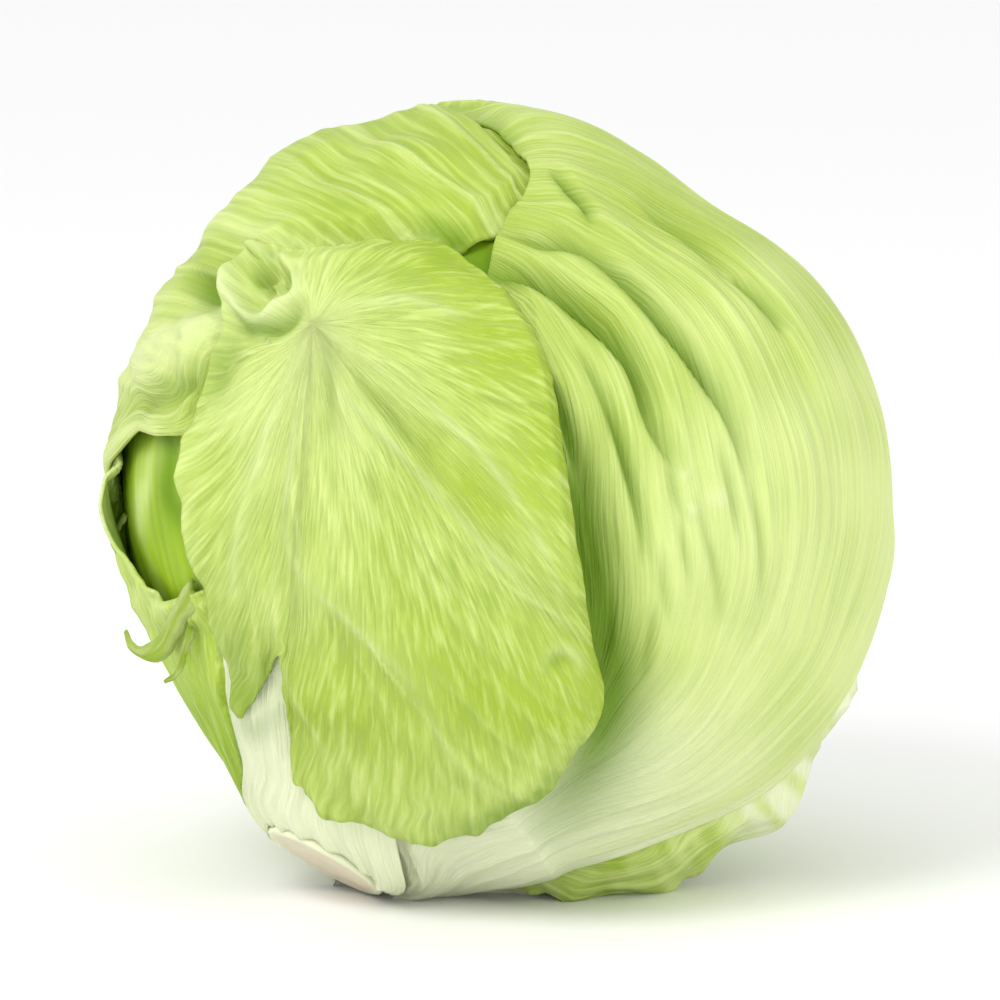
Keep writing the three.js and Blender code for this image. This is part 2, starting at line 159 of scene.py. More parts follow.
def above_surface(radius, ways):
    """The radii, cut off at the flat spot that the head lies on."""
    drop = np.maximum(-ways[..., 2], 1e-6)
    return np.where(ways[..., 2] < 0, np.minimum(radius, CENTRE[2] / drop), radius)


def seen(right, up, lift=0.0):
    """Directions from the centre to the places that the front view shows there. The radius depends
    on the direction, so both are settled in a few rounds."""
    reach = np.hypot(right, up)
    radius = np.full(np.shape(reach), HEAD_RADIUS)
    for _ in range(SETTLING_ROUNDS):
        scale = np.minimum(1, radius * 0.999 / np.maximum(reach, 1e-6))
        near = np.sqrt(radius**2 - (reach * scale) ** 2)
        flat = (right * scale)[..., None] * RIGHT + (up * scale)[..., None] * UP
        ways = unit(flat + near[..., None] * NEAR)
        radius = head_radius(ways) + lift
    return ways


# The leaf chart: meridians run from the stem to the pucker. around turns round the stem, from the
# side that faces the front, and along grows from the stem. Both are in degrees.
TOWARD = unit(NEAR - NEAR @ STEM * STEM)
ASIDE = np.cross(STEM, TOWARD)
PUCKER_WAY = seen(np.array(PUCKER[0]), np.array(PUCKER[1]))
TIP = np.tan(np.arccos(PUCKER_WAY @ STEM) / 2) * np.exp(
    1j * np.arctan2(PUCKER_WAY @ ASIDE, PUCKER_WAY @ TOWARD)
)


def about_stem(turn, angle):
    """Directions at an angle to the stem and turned round it, both in radians."""
    sideways = np.cos(turn)[..., None] * TOWARD + np.sin(turn)[..., None] * ASIDE
    return np.cos(angle)[..., None] * STEM + np.sin(angle)[..., None] * sideways


def from_chart(around, along):
    """Directions of places in the leaf chart."""
    w = np.tan(np.radians(along) / 2) * np.exp(1j * np.radians(around))
    z = w / (1 + w / TIP)
    return about_stem(np.angle(z), 2 * np.arctan(np.abs(z)))


def scattered(i, j, k):
    """A fixed random number between -1 and 1 for each whole-number place."""
    h = (i * 374761393 + j * 668265263 + k * 1442695041) & 0xFFFFFFFF
    h = ((h ^ (h >> 13)) * 1274126177) & 0xFFFFFFFF
    h = ((h ^ (h >> 16)) * 2246822519) & 0xFFFFFFFF
    return (h ^ (h >> 15)) / 0x7FFFFFFF - 1


def noise(x, y, z=0.0):
    """Smooth noise between -1 and 1, one lump a unit."""
    x, y, z = np.broadcast_arrays(x, y, z)
    whole = [np.floor(value).astype(np.int64) for value in (x, y, z)]
    i, j, k = whole
    u, v, w = (smooth(0, 1, value - cell) for value, cell in zip((x, y, z), whole))

    def row(b, c):
        return mix(scattered(i, b, c), scattered(i + 1, b, c), u)

    def sheet(c):
        return mix(row(j, c), row(j + 1, c), v)

    return mix(sheet(k), sheet(k + 1), w)


def lumps(ways, size, seed):
    """Noise over the ball, with lumps of that size."""
    return noise(*(ways[..., axis] * HEAD_RADIUS / size + seed for axis in range(3)))


class Clearance:
    """The radius left free under the leaves laid so far, in evenly spread directions."""

    COUNT = 24000
    CELL = math.radians(1.15)
    BATCH = 400

    def __init__(self):
        i = np.arange(self.COUNT)
        z = 1 - (2 * i + 1) / self.COUNT
        turn = i * math.pi * (3 - math.sqrt(5))
        flat = np.sqrt(1 - z * z)
        self.ways = np.stack((flat * np.cos(turn), flat * np.sin(turn), z), axis=1)
        self.tree = KDTree(self.COUNT)
        for number, way in enumerate(self.ways):
            self.tree.insert(way, number)
        self.tree.balance()
        self.free = np.full(self.COUNT, OPEN)

    def cover(self, ways, radii, reach=CELL):
        """Notes a leaf laid at these radii."""
        for way, radius in zip(ways, radii):
            for _, number, _ in self.tree.find_range(way, reach):
                self.free[number] = min(self.free[number], radius)

    def under(self, ways, climb):
        """The radii free in these directions, rising by climb for each millimetre beside a leaf."""
        held = self.free < OPEN
        free = np.full(len(ways), OPEN)
        if not held.any():
            return free
        for start in range(0, len(ways), self.BATCH):
            some = slice(start, start + self.BATCH)
            apart = np.sqrt(np.maximum(0, 2 - 2 * (ways[some] @ self.ways[held].T))) * HEAD_RADIUS
            beyond = np.maximum(0, apart - PRESS_REACH)
            free[some] = (self.free[held] + beyond * climb).min(axis=1)
        return free - LEAF_GAP


CLEARANCE = Clearance()


def deselect():
    for piece in bpy.context.selected_objects:
        piece.select_set(False)


def read(items, name):
    """A vector of each vertex or face, such as its place or normal."""
    flat = np.empty(len(items) * 3)
    items.foreach_get(name, flat)
    return flat.reshape(-1, 3)


def in_order(order, values):
    """Values of a grid's points in the order of its vertices."""
    flat = np.empty((len(order), *values.shape[2:]))
    flat[order] = values.reshape(flat.shape)
    return flat


def sheet_piece(name, columns, rows):
    """A flat grid to shape: the piece, and its places across and along as numbers from 0 to 1."""
    deselect()
    bpy.ops.mesh.primitive_grid_add(
        x_subdivisions=columns, y_subdivisions=rows, size=1, calc_uvs=True, location=(0, 0, 0)
    )
    piece = bpy.context.object
    piece.name = name
    piece.data.name = name
    flat = read(piece.data.vertices, "co") + 0.5
    order = np.lexsort((np.round(flat[:, 0], 6), np.round(flat[:, 1], 6)))
    shape = (-1, len(np.unique(np.round(flat[:, 0], 6))))
    u = flat[order, 0].reshape(shape)
    v = flat[order, 1].reshape(shape)
    return piece, order, u, v


def place(piece, order, points):
    """Puts the grid's points in their places."""
    piece.data.vertices.foreach_set("co", in_order(order, points * MM).ravel())
    piece.data.update()


def paint(piece, order, **masks):
    """Stores each mask, a number for each point of the grid, as an attribute of that name."""
    for name, values in masks.items():
        attribute = piece.data.attributes.new(name, "FLOAT", "POINT")
        attribute.data.foreach_set("value", in_order(order, np.clip(values, 0, 1)))


def widths(ways):
    """Width of a leaf at each row, and its mean length."""
    points = ways * HEAD_RADIUS
    across = np.linalg.norm(np.diff(points, axis=1), axis=-1).sum(axis=1)
    along = np.linalg.norm(np.diff(points, axis=0), axis=-1).sum(axis=0)
    return np.repeat(across[:, None], ways.shape[1], axis=1), float(along.mean())


def lay(ways, lift, climb=0.4, relief=0.0, pull=0.0):
    """Radii of a leaf over the head: lifted, given relief and pressed under what lies over it,
    except where it is pulled clear. The press is worked out on a coarser grid."""
    rows, columns = ways.shape[:2]
    some_rows, some_columns = (
        np.unique(np.linspace(0, count - 1, min(count, most)).astype(int))
        for count, most in zip((rows, columns), PRESS_GRID)
    )
    coarse = ways[np.ix_(some_rows, some_columns)]
    free = CLEARANCE.under(coarse.reshape(-1, 3), climb).reshape(coarse.shape[:2])
    wide = np.array([np.interp(np.arange(columns), some_columns, line) for line in free])
    full = np.array([np.interp(np.arange(rows), some_rows, line) for line in wide.T]).T
    wanted = above_surface(head_radius(ways) + lift, ways) + relief
    pressed = full + PRESSED_SHARE * np.minimum(relief, PRESSED_LIMIT)
    radius = mix(np.minimum(wanted, pressed), wanted, pull)
    return above_surface(radius, ways)


def cover_under(ways, radius, thickness):
    """Tells the clearance map what this leaf leaves free under it."""
    low = (radius - thickness)[::2, ::2]
    CLEARANCE.cover(ways[::2, ::2].reshape(-1, 3), low.ravel())


def shared_out(width, spacing):
    """Halvings that keep lines about one spacing apart over a leaf of changing width."""
    level = np.log2(np.maximum(width / spacing, 1))
    whole = np.floor(level)
    return 2**whole, level - whole


def veins(u, width, spacing, thick, wander):
    """Height between 0 and 1 of veins that run along a leaf and fork where it widens."""
    count, fade = shared_out(width, spacing)
    best = np.zeros_like(u)
    for step, strength in ((1, 1 - fade), (2, fade)):
        number = count * step
        lane = u * number + wander * np.minimum(1, number / 16)
        cell = np.floor(lane)
        whole = cell.astype(np.int64)
        aside = lane - cell - 0.5 + 0.3 * scattered(whole, (number * 3).astype(np.int64), 5)
        distance = np.abs(aside) * width / number
        heavy = 0.6 + 0.4 * scattered(whole, number.astype(np.int64), 11)
        best = np.maximum(best, strength * heavy * hump(distance, thick))
    return best


def streaks(u, v, width, length, spacing, stretch, seed):
    """Noise drawn out along the leaf, as even over its wide part as over its narrow base."""
    count, fade = shared_out(width, spacing)
    along = v * length / (spacing * stretch)
    return mix(noise(u * count, along, seed), noise(u * count * 2, along, seed), fade)


def lengths(line):
    """How far along a line each of its points lies."""
    return np.concatenate(([0], np.cumsum(np.linalg.norm(np.diff(line, axis=0), axis=1))))


def drawn(points, closed=False, count=LINE_STEPS):
    """A smooth line through a few points, as evenly spaced places."""
    points = np.array(points, float)
    ends = points[[-1]], points[[0, 1]]
    if not closed:
        ends = 2 * points[[0]] - points[[1]], 2 * points[[-1]] - points[[-2]]
    padded = np.vstack((ends[0], points, ends[1]))
    t = np.linspace(0, 1, CURVE_STEPS, endpoint=False)[:, None]
    parts = []
    for i in range(1, len(padded) - 2):
        a, b, c, d = padded[i - 1:i + 3]
        parts.append(0.5 * (2 * b + (c - a) * t + (2 * a - 5 * b + 4 * c - d) * t**2
                            + (3 * b - a - 3 * c + d) * t**3))
    line = np.vstack(parts + [padded[-2:-1]])
    reach = lengths(line)
    even = np.linspace(0, reach[-1], count + 1)
    return np.stack([np.interp(even, reach, line[:, axis]) for axis in (0, 1)], axis=1)


def beside(points, x, y):
    """How far places of the front view lie from a drawn line, on which side, and where along it."""
    line = drawn(points)
    best = np.full(x.shape, np.inf)
    side = np.zeros(x.shape)
    along = np.zeros(x.shape)
    for i in range(len(line) - 1):
        (ax, ay), (bx, by) = line[i], line[i + 1]
        dx, dy = bx - ax, by - ay
        t = np.clip(((x - ax) * dx + (y - ay) * dy) / (dx * dx + dy * dy), 0, 1)
        ox, oy = x - ax - t * dx, y - ay - t * dy
        distance = np.hypot(ox, oy)
        closer = distance < best
        best = np.where(closer, distance, best)
        side = np.where(closer, np.sign(dx * oy - dy * ox), side)
        along = np.where(closer, (i + t) / (len(line) - 1), along)
    return best, side, along


# Pleats of the right leaf in the front view: a crisp lip, then a fold that opens out on the left
# side of the way the line runs. Each pleat and the hollow are darkened with painted shade.
PLEATS = [
    {"line": [(-12, 53), (-2, 46.6), (13, 40.3), (26, 27.5), (32, 12.7), (39, 3)], "depth": 5.6,
     "width": 6.2},
    {"line": [(-1, 56), (7, 52), (21, 49), (34, 34), (45, 19), (52, 2)], "depth": 5.0, "width": 5.6},
    {"line": [(8, 27), (12, 19), (16.5, 6), (19, -3)], "depth": 3.2, "width": 4},
    {"line": [(15.7, 31), (22.5, 17), (27.5, 3), (30, -8), (31, -18)], "depth": 2.4, "width": 3.4},
    {"line": [(11, 68), (16, 62), (21, 57)], "depth": 2.8, "width": 3.4},
    {"line": [(50, 46), (55, 41), (61, 33)], "depth": 2.8, "width": 3.4},
    {"line": [(30, 66), (42, 55), (50, 44)], "depth": 1.6, "width": 7},
    {"line": [(-14, 81), (-2, 78), (6, 70)], "depth": 2.5, "width": 5},
]
HOLLOW = {
    "line": [(10, 27), (14.5, 8.5), (18, -10.6), (22, -30), (24, -45), (18, -60), (6, -70)],
    "depth": 7, "width": 10, "shade_width": 7,
}
LIP_WIDTH = 1.4
FULL_DEPTH = 3.4


def pleated(x, y):
    """Depth of the pleats of the right leaf, and how much painted shade each place takes in and beside
    the pleats and the hollow, from 0 to 1.
    """
    depth = np.zeros(x.shape)
    dark = np.zeros(x.shape)
    for pleat in PLEATS:
        distance, side, along = beside(pleat["line"], x, y)
        taper = np.sin(math.pi * np.clip(along, 0.01, 0.99)) ** 0.85
        opening = (1 - smooth(0, pleat["width"], distance)) * (side > 0)
        lip = (1 - smooth(0, LIP_WIDTH, distance)) * (side <= 0)
        crest = 0.16 * hump(distance - 3, 2.2) * (side <= 0)
        depth += pleat["depth"] * taper * (opening + lip - crest)
        # Painted shade in the opening of the pleat, on its lip and along its line
        shade = hump(distance, 0.5 * pleat["width"]) * (side > 0)
        deep = min(1, pleat["depth"] / FULL_DEPTH)
        dark = np.maximum(dark, taper * deep * np.maximum(shade + 0.9 * lip, 1.1 * hump(distance, 1.5)))
    distance, side, along = beside(HOLLOW["line"], x, y)
    taper = np.sin(math.pi * along) ** 0.5 * smooth(0, 0.3, along)
    depth += HOLLOW["depth"] * hump(distance, HOLLOW["width"]) * taper
    # Painted shade in the hollow
    dark = np.maximum(dark, 1.05 * hump(distance, HOLLOW["shade_width"]) * taper)
    return depth, dark


def ridge(x, y, line, width):
    """1 on a drawn line of the front view, fading to nothing at its ends and beside it."""
    distance, _, along = beside(line, x, y)
    return hump(distance, width) * np.sin(math.pi * np.clip(along, 0.02, 0.98)) ** 0.5


def spot(x, y, at, width):
    """1 at a place of the front view, fading to nothing round it."""
    return np.exp(-((x - at[0]) ** 2 + (y - at[1]) ** 2) / width**2)


def drawn_marks(marks, x, y):
    """Sums of drawn marks, each a line or a spot with its width and how much it adds to each mask."""
    totals = {"height": 0.0, "fold": 0.0, "white": 0.0}
    for mark in marks:
        if "line" in mark:
            shape = ridge(x, y, mark["line"], mark["width"])
        else:
            shape = spot(x, y, mark["at"], mark["width"])
        for name in totals:
            totals[name] = totals[name] + mark.get(name, 0) * shape
    return totals


def chart_grid(u, v, base, tip, left, right):
    """Directions of a leaf in the chart. It grows from its base to its tip, which is given across
    the leaf, between a left and a right edge, which are given along it."""
    along = mix(base, through(tip)(u), v)
    return from_chart(mix(through(left)(along), through(right)(along), u), along)


class Value:
    """A socket of a material, so that sums on it read as sums."""

    def __init__(self, finish, socket):
        self.finish = finish
        self.socket = socket

    def _sum(self, operation, *values):
        return self.finish.node("ShaderNodeMath", {"operation": operation}, values)

    def __add__(self, other):
        return self._sum("ADD", self, other)

    __radd__ = __add__

    def __sub__(self, other):
        return self._sum("SUBTRACT", self, other)

    def __rsub__(self, other):
        return self._sum("SUBTRACT", other, self)

    def __mul__(self, other):
        return self._sum("MULTIPLY", self, other)

    __rmul__ = __mul__


class Finish:
    """A material with one Principled shader, and nodes added by type."""

    def __init__(self, name):
        self.material = bpy.data.materials.new(name)
        self.material.use_nodes = True
        self.tree = self.material.node_tree
        self.shader = next(n for n in self.tree.nodes if n.type == "BSDF_PRINCIPLED")

    def node(self, kind, settings=None, values=(), output=0, **named):
        made = self.tree.nodes.new(kind)
        for key, setting in (settings or {}).items():
            setattr(made, key, setting)
        for key, value in list(enumerate(values)) + list(named.items()):
            socket = made.inputs[key if isinstance(key, int) else key.replace("_", " ")]
            self.give(socket, value)
        return Value(self, made.outputs[output])

    def give(self, socket, value):
        if isinstance(value, Value):
            self.tree.links.new(value.socket, socket)
        else:
            socket.default_value = (*value, 1) if socket.type == "RGBA" else value

    def mixed(self, a, b, amount):
        made = self.tree.nodes.new("ShaderNodeMix")
        made.data_type = "RGBA"
        made.clamp_factor = True
        self.give(made.inputs["Factor"], amount)
        for socket, value in zip([s for s in made.inputs if s.type == "RGBA"], (a, b)):
            self.give(socket, value)
        return Value(self, next(s for s in made.outputs if s.type == "RGBA"))

    def streak_noise(self, run):
        return self.node("ShaderNodeTexNoise", {"noise_dimensions": "2D"}, Vector=run, Scale=1,
                         Detail=3, Roughness=0.55)

    def attribute(self, name):
        return self.node("ShaderNodeAttribute", {"attribute_name": name}, output=2)

    def set(self, **named):
        for key, value in named.items():
            self.give(self.shader.inputs[key.replace("_", " ")], value)


# Scales of the leaf textures, in lumps a metre. The grain of the top left leaf has its own spans
# across and along it, and the streaks in each span.
PATCH_SCALE = 45
CELL_SCALE = 900
GRAIN_SPAN = (240, 480)
GRAIN_STREAKS = (170, 24)


def leaf_finish(name, streaks_across, streaks_along, green="green", mottle="mottle", pale="pale",
                grain=False):
    """Leaf skin: green between pale veins, ivory at the base, and painted shade, deep green mixed in
    where the leaf's shade mask marks folds, creases, pits and gaps in shadow. The colours are names
    of the head's colours. With grain, part of its fine veins follow the run that the leaf's
    attributes give, over the spans of GRAIN_SPAN."""
    colours = bpy.context.scene.lettuce_colours
    finish = Finish(name)
    position = finish.node("ShaderNodeTexCoord", output=3)
    texture_map = finish.node("ShaderNodeUVMap", {"uv_map": "UVMap"})
    drawn_out = finish.node("ShaderNodeMapping", Vector=texture_map,
                            Scale=(streaks_across, streaks_along, 1))
    fine = finish.streak_noise(drawn_out)
    if grain:
        run = finish.node("ShaderNodeCombineXYZ", X=finish.attribute("across") * GRAIN_STREAKS[0],
                          Y=finish.attribute("along") * GRAIN_STREAKS[1])
        fine = fine + (finish.streak_noise(run) - fine) * finish.attribute("share")
    patches = finish.node("ShaderNodeTexNoise", Vector=position, Scale=PATCH_SCALE, Detail=3,
                          Roughness=0.55)
    cells = finish.node("ShaderNodeTexNoise", Vector=position, Scale=CELL_SCALE, Detail=2)
    vein = finish.attribute("vein")
    streak = (fine - 0.5) * 3.4
    colour = finish.mixed(getattr(colours, green), getattr(colours, mottle),
                          (patches - 0.42) * 1.6 - streak * 0.45)
    # The pale and white masks are mostly the leaf's own paler tissue and ivory foot; on the right leaf they
    # also hold painted light, paler toward the lower right, and painted highlights.
    colour = finish.mixed(colour, getattr(colours, pale),
                          finish.attribute("pale") + vein * 0.6 + streak * 0.5)
    colour = finish.mixed(colour, colours.ivory, finish.attribute("white") - streak * 0.15)
    # Painted shade: deep green where the leaf's shade mask marks folds, creases, pits and gaps in shadow
    colour = finish.mixed(colour, colours.shade, finish.attribute("fold") * 0.9)
    finish.set(Base_Color=colour, Roughness=0.48 + (patches - 0.5) * 0.2)
    height = vein * 0.8 + fine * 0.7 + cells * 0.06
    finish.set(Normal=finish.node("ShaderNodeBump", Strength=0.8, Distance=0.0008, Height=height))
    finish.set(Subsurface_Weight=0.2, Subsurface_Scale=0.002, Subsurface_Radius=(0.9, 1.0, 0.3))
    finish.set(Specular_IOR_Level=0.15)
    return finish.material


def unroll(piece, order, across, along):
    """Sets the texture map of the grid, so that it runs with the veins."""
    spots = in_order(order, np.stack((across, along), axis=-1))
    corners = np.empty(len(piece.data.loops), np.int64)
    piece.data.loops.foreach_get("vertex_index", corners)
    piece.data.uv_layers[0].data.foreach_set("uv", spots[corners].ravel())


def edit_all(operator, **settings):
    """Runs one mesh operator on the whole active piece."""
    bpy.ops.object.mode_set(mode="EDIT")
    bpy.ops.mesh.select_all(action="SELECT")
    operator(**settings)
    bpy.ops.object.mode_set(mode="OBJECT")


def close_up():
    """Merges the seam and the poles of the active piece, and turns its faces outward."""
    edit_all(bpy.ops.mesh.remove_doubles, threshold=MERGE_DISTANCE)
    edit_all(bpy.ops.mesh.normals_make_consistent, inside=False)
    bpy.ops.object.shade_smooth()


def set_in_frame(piece, material, node):
    """Gives a finished piece its material, hides the solid that it stands for, and sets it under the
    root body.
    """
    piece.data.materials.append(material)
    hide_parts(node)
    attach(piece, "root")


def finish_leaf(piece, order, points, thickness, stout, material, node, masks, seam=False):
    """Gives the shaped grid its masks and thickness, and sets it in the frame. thickness is that of
    its stout part and that of its edge, and seam says that the grid's sides meet."""
    place(piece, order, points)
    paint(piece, order, **masks)
    weights = piece.vertex_groups.new(name="stout")
    levels = np.round(in_order(order, np.clip(stout, 0, 1)) * STOUT_STEPS)
    for step in range(1, STOUT_STEPS + 1):
        members = np.flatnonzero(levels == step)
        weights.add([int(i) for i in members], step / STOUT_STEPS, "REPLACE")
    if seam:
        edit_all(bpy.ops.mesh.remove_doubles, threshold=MERGE_DISTANCE)
    if facing_in(piece):
        edit_all(bpy.ops.mesh.flip_normals)
    wall = piece.modifiers.new("Leaf thickness", "SOLIDIFY")
    wall.thickness = thickness[0] * MM
    wall.offset = -1
    wall.vertex_group = "stout"
    wall.thickness_vertex_group = thickness[1] / thickness[0]
    bpy.ops.object.modifier_apply(modifier=wall.name)
    bpy.ops.object.shade_smooth()
    piece.vertex_groups.clear()
    set_in_frame(piece, material, node)


def facing_in(piece):
    """True where most faces of an open sheet look toward the middle of the head."""
    outward = read(piece.data.polygons, "center") - CENTRE * MM
    return np.sum(read(piece.data.polygons, "normal") * outward) < 0


def ribs(base, edge):
    """Thickness of a leaf: stout at the foot of its rib, thin at its edges."""

    def at(u, v):
        return mix(edge, base, (1 - smooth(0.05, 0.5, v)) * np.sin(math.pi * mix(0.12, 0.88, u)))

    return at


def sector_leaf(name, node, size, chart, lift, thickness, material, climb=0.4, ivory=0.5,
                pull=None, vein_height=0.5, seed=1.0, marks=None, grain=None):
    """A whole wrapper leaf in the chart: directions, radii, veins and finish. lift gives its height
    over the head, and ivory is how far its white foot reaches. marks gives what is drawn on it:
    extra height, painted shade, pale and white. pull tells where nothing presses it. grain gives
    another run of its veins: the distance across them and along them, and how far it takes over."""
    sizes = bpy.context.scene.lettuce_sizes
    piece, order, u, v = sheet_piece(name, *size)
    ways = chart_grid(u, v, **chart)
    width, length = widths(ways)
    wander = 0.5 * noise(u * 5, v * 3, seed) + 0.25 * noise(u * 14, v * 9, seed + 2)
    main = veins(u, width, sizes.vein_spacing / MM, 0.8 + 0.5 * (1 - v), wander)
    fine = streaks(u + 0.004 * wander, v, width, length, 3.2, 7, seed)
    crumple = streaks(u, v, width, length, 8, 2.2, seed + 9)
    foot = 1 - smooth(0.1, 0.45, v)
    if grain:
        across, along, share = grain(*in_view(ways))
        main = mix(main, np.maximum(0, 1 - 3 * np.abs(noise(across / 6, along / 45, seed))), share)
        fine = mix(fine, noise(across / 2.2, along / 14, seed + 1), share)
        crumple = mix(crumple, noise(across / 5.5, along / 13, seed + 2), share)
    relief = vein_height * main * (1 + foot) + 0.5 * fine + crumple * smooth(0.15, 0.5, v)
    drawn_on = {"height": 0.0, "fold": 0.0, "pale": 0.0, "white": 0.0}
    if marks:
        drawn_on.update(marks(u, v, *in_view(ways)))
    lifted = lift(u, v, ways) + drawn_on["height"]
    radius = lay(ways, lifted, climb, relief, pull(ways) if pull else 0.0)
    cover_under(ways, radius, ribs(*thickness)(u, v))
    points = ways * radius[..., None] + CENTRE
    white = 1 - smooth(ivory * 0.35, ivory, v + 0.05 * noise(u * 9, v * 3, seed + 4))
    flat = np.zeros(u.shape)
    masks = {
        "vein": main + 0.35 * np.maximum(fine, 0),
        "white": np.maximum(white, drawn_on["white"]),
        "fold": flat + drawn_on["fold"],
        "pale": flat + drawn_on["pale"],
    }
    if grain:
        masks.update(across=across / GRAIN_SPAN[0], along=along / GRAIN_SPAN[1] + 0.5, share=share)
    stout = ribs(1.0, 0.0)(u, v)
    finish_leaf(piece, order, points, thickness, stout, material, node, masks)


class LettuceSizes(bpy.types.PropertyGroup):
    """Sizes of the head's finish."""

    leaf_thickness: bpy.props.FloatProperty(
        name="Leaf thickness", description="Thickness of a leaf at its edge", default=0.0008,
        unit="LENGTH", precision=5,
    )
    vein_spacing: bpy.props.FloatProperty(
        name="Vein spacing", description="Distance between neighbouring main veins", default=0.007,
        unit="LENGTH", precision=4,
    )
    ruffle: bpy.props.FloatProperty(
        name="Ruffle", description="How far the free edges wave in and out", default=0.0015,
        unit="LENGTH", precision=4,
    )


def colour_property(name, description, default):
    return bpy.props.FloatVectorProperty(
        name=name, description=description, default=default, subtype="COLOR", min=0, max=1
    )


class LettuceColours(bpy.types.PropertyGroup):
    """Colours of the leaves and the stem."""

    green: colour_property("Leaf green", "Skin of the outer leaves", (0.31, 0.43, 0.034))
    mottle: colour_property("Mottle", "Darker patches between the veins", (0.222, 0.345, 0.013))
    pale: colour_property("Vein", "Pale veins and streaks", (0.565, 0.665, 0.23))
    ivory: colour_property("Ivory", "Foot of each leaf", (0.75, 0.785, 0.55))
    # The fold colour is painted shade, laid where folds, creases, pits and gaps lie in shadow
    shade: colour_property("Fold", "Deep green down in folds", (0.11, 0.225, 0.0))
    broad: colour_property("Broad leaf", "Skin of the right leaf", (0.37375, 0.48875, 0.083))
    inside: colour_property("Inner side", "Inner side of the torn leaf", (0.37, 0.54, 0.03))
    heart: colour_property("Heart", "Skin of the heart", (0.3, 0.46, 0.012))
    heart_mottle: colour_property("Heart mottle", "Darker patches of the heart", (0.22, 0.37, 0.006))
    heart_pale: colour_property("Heart vein", "Pale veins of the heart", (0.43, 0.58, 0.09))
    cut: colour_property("Cut stem", "Flat cut of the stem", (0.68, 0.61, 0.46))
    cut_pale: colour_property("Pale cut", "Lighter patches of the cut", (0.76, 0.68, 0.52))
    cut_fibre: colour_property("Fibre", "Darker fibres of the cut", (0.58, 0.46, 0.3))


# Front leaf, as places of the front view. Its veins fan out from a focus and bend by so much a
# millimetre, and its texture map is measured in lengths of the fan.
FRONT_FOCUS = (-38.0, 34.0)
FRONT_OUTLINE = [
    (-52.5, 50.8), (-35.6, 53.4), (-14.4, 53.8), (-2.3, 46.2), (4.7, 38.1), (10, 26.5), (13.8, 8.5),
    (16.3, -10.6), (19.9, -31.8), (22.2, -44.5), (15.3, -57.2), (10, -63.6), (0.4, -68.9),
    (-12.3, -72), (-21.8, -71), (-31.4, -68.9), (-38.8, -65.7), (-42.6, -57.2), (-44.1, -44.5),
    (-45.1, -33.9), (-50, -42.4), (-54, -47), (-56.8, -37.1), (-60, -25.4), (-63.8, -11.7),
    (-65.7, 0), (-65.3, 10.6), (-63.1, 19.1), (-59.6, 27.5), (-57.6, 34.2), (-56, 42.4),
]
BLADE_GRID = (530, 84)
FRONT_LIFT = 1.5
FAN_BEND = 0.0042
FAN_LENGTH = 100
FRONT_VEINS = [
    [(-38, 34), (-41, 15), (-43, 3), (-42.6, -14), (-31, -27), (-19, -37.5), (-9, -55), (4.7, -63.6)],
    [(-36, 30), (-31.4, 19), (-25, 12.7), (0.4, -15), (17, -30)],
    [(-36, 33), (-20, 22), (-4, 8), (8, -10), (14, -26)],
    [(-40, 30), (-48, 10), (-53, -8), (-54, -28)],
    [(-34, 37), (-18, 38), (-6, 35)],
]
CURL = (-49.4, 43.4)
CURL_RADIUS = 7.4
LIMB_SHADE = [(-62, -30), (-60, -42), (-57, -53), (-53, -64), (-49.5, -71)]
LIMB_NOTCH = [(-57, -36), (-53, -50), (-47, -47), (-45, -34)]

# Marks of the front leaf: three pits beside the curl, a slit, a curled bit of the edge and the dark
# spot in it, with painted shade in the pits, the slit and the spot, then painted shade under the
# curl, down the flank, beside two veins, above the teeth and along the lower edge, and last the
# swelling along its drawn veins
FRONT_MARKS = [
    {"at": (-48.3, 49.8), "width": 1.6, "height": -1.6, "fold": 0.35},
    {"at": (-50.4, 45.6), "width": 1.8, "height": -1.6, "fold": 0.35},
    {"at": (-44.1, 44.5), "width": 1.8, "height": -1.6, "fold": 0.35},
    {"line": [(-27, 4), (-26.2, 0.5), (-25, -4)], "width": 1.5, "height": -1.2, "fold": 0.25},
    {"line": [(9, -36), (11, -33), (14, -32.5), (16.5, -35), (16, -38.5)], "width": 1.3,
     "height": 0.9, "white": 0.2},
    {"at": (11.5, -35.5), "width": 2.2, "height": -0.6, "fold": 0.2},
    {"line": [(-54.5, 36.5), (-51.5, 33.5), (-47, 33.2), (-43, 35.2), (-40.5, 38.5)], "width": 1.6,
     "height": -1.8, "fold": 0.8},
    {"line": [(-53.5, 35), (-56, 30), (-58.5, 24), (-60.5, 17)], "width": 3.4, "height": -1.6,
     "fold": 0.5},
    {"line": [(-36, 31), (-34.6, 24), (-34.3, 17), (-35.5, 10)], "width": 1.6, "height": -0.8,
     "fold": 0.35},
    {"line": [(-30, 24), (-25, 18), (-20, 12.5), (-14, 6)], "width": 1.3, "height": -0.8,
     "fold": 0.35},
    {"line": [(-58, -25), (-55, -36), (-53, -44), (-49, -38), (-46, -30)], "width": 3.2, "fold": 0.5},
    {"line": [(-12, -70.5), (0, -67.5), (9, -62), (15, -55)], "width": 3.0, "fold": 0.65},
    *({"line": line, "width": 4.5, "height": 0.9, "white": 0.06} for line in FRONT_VEINS),
]


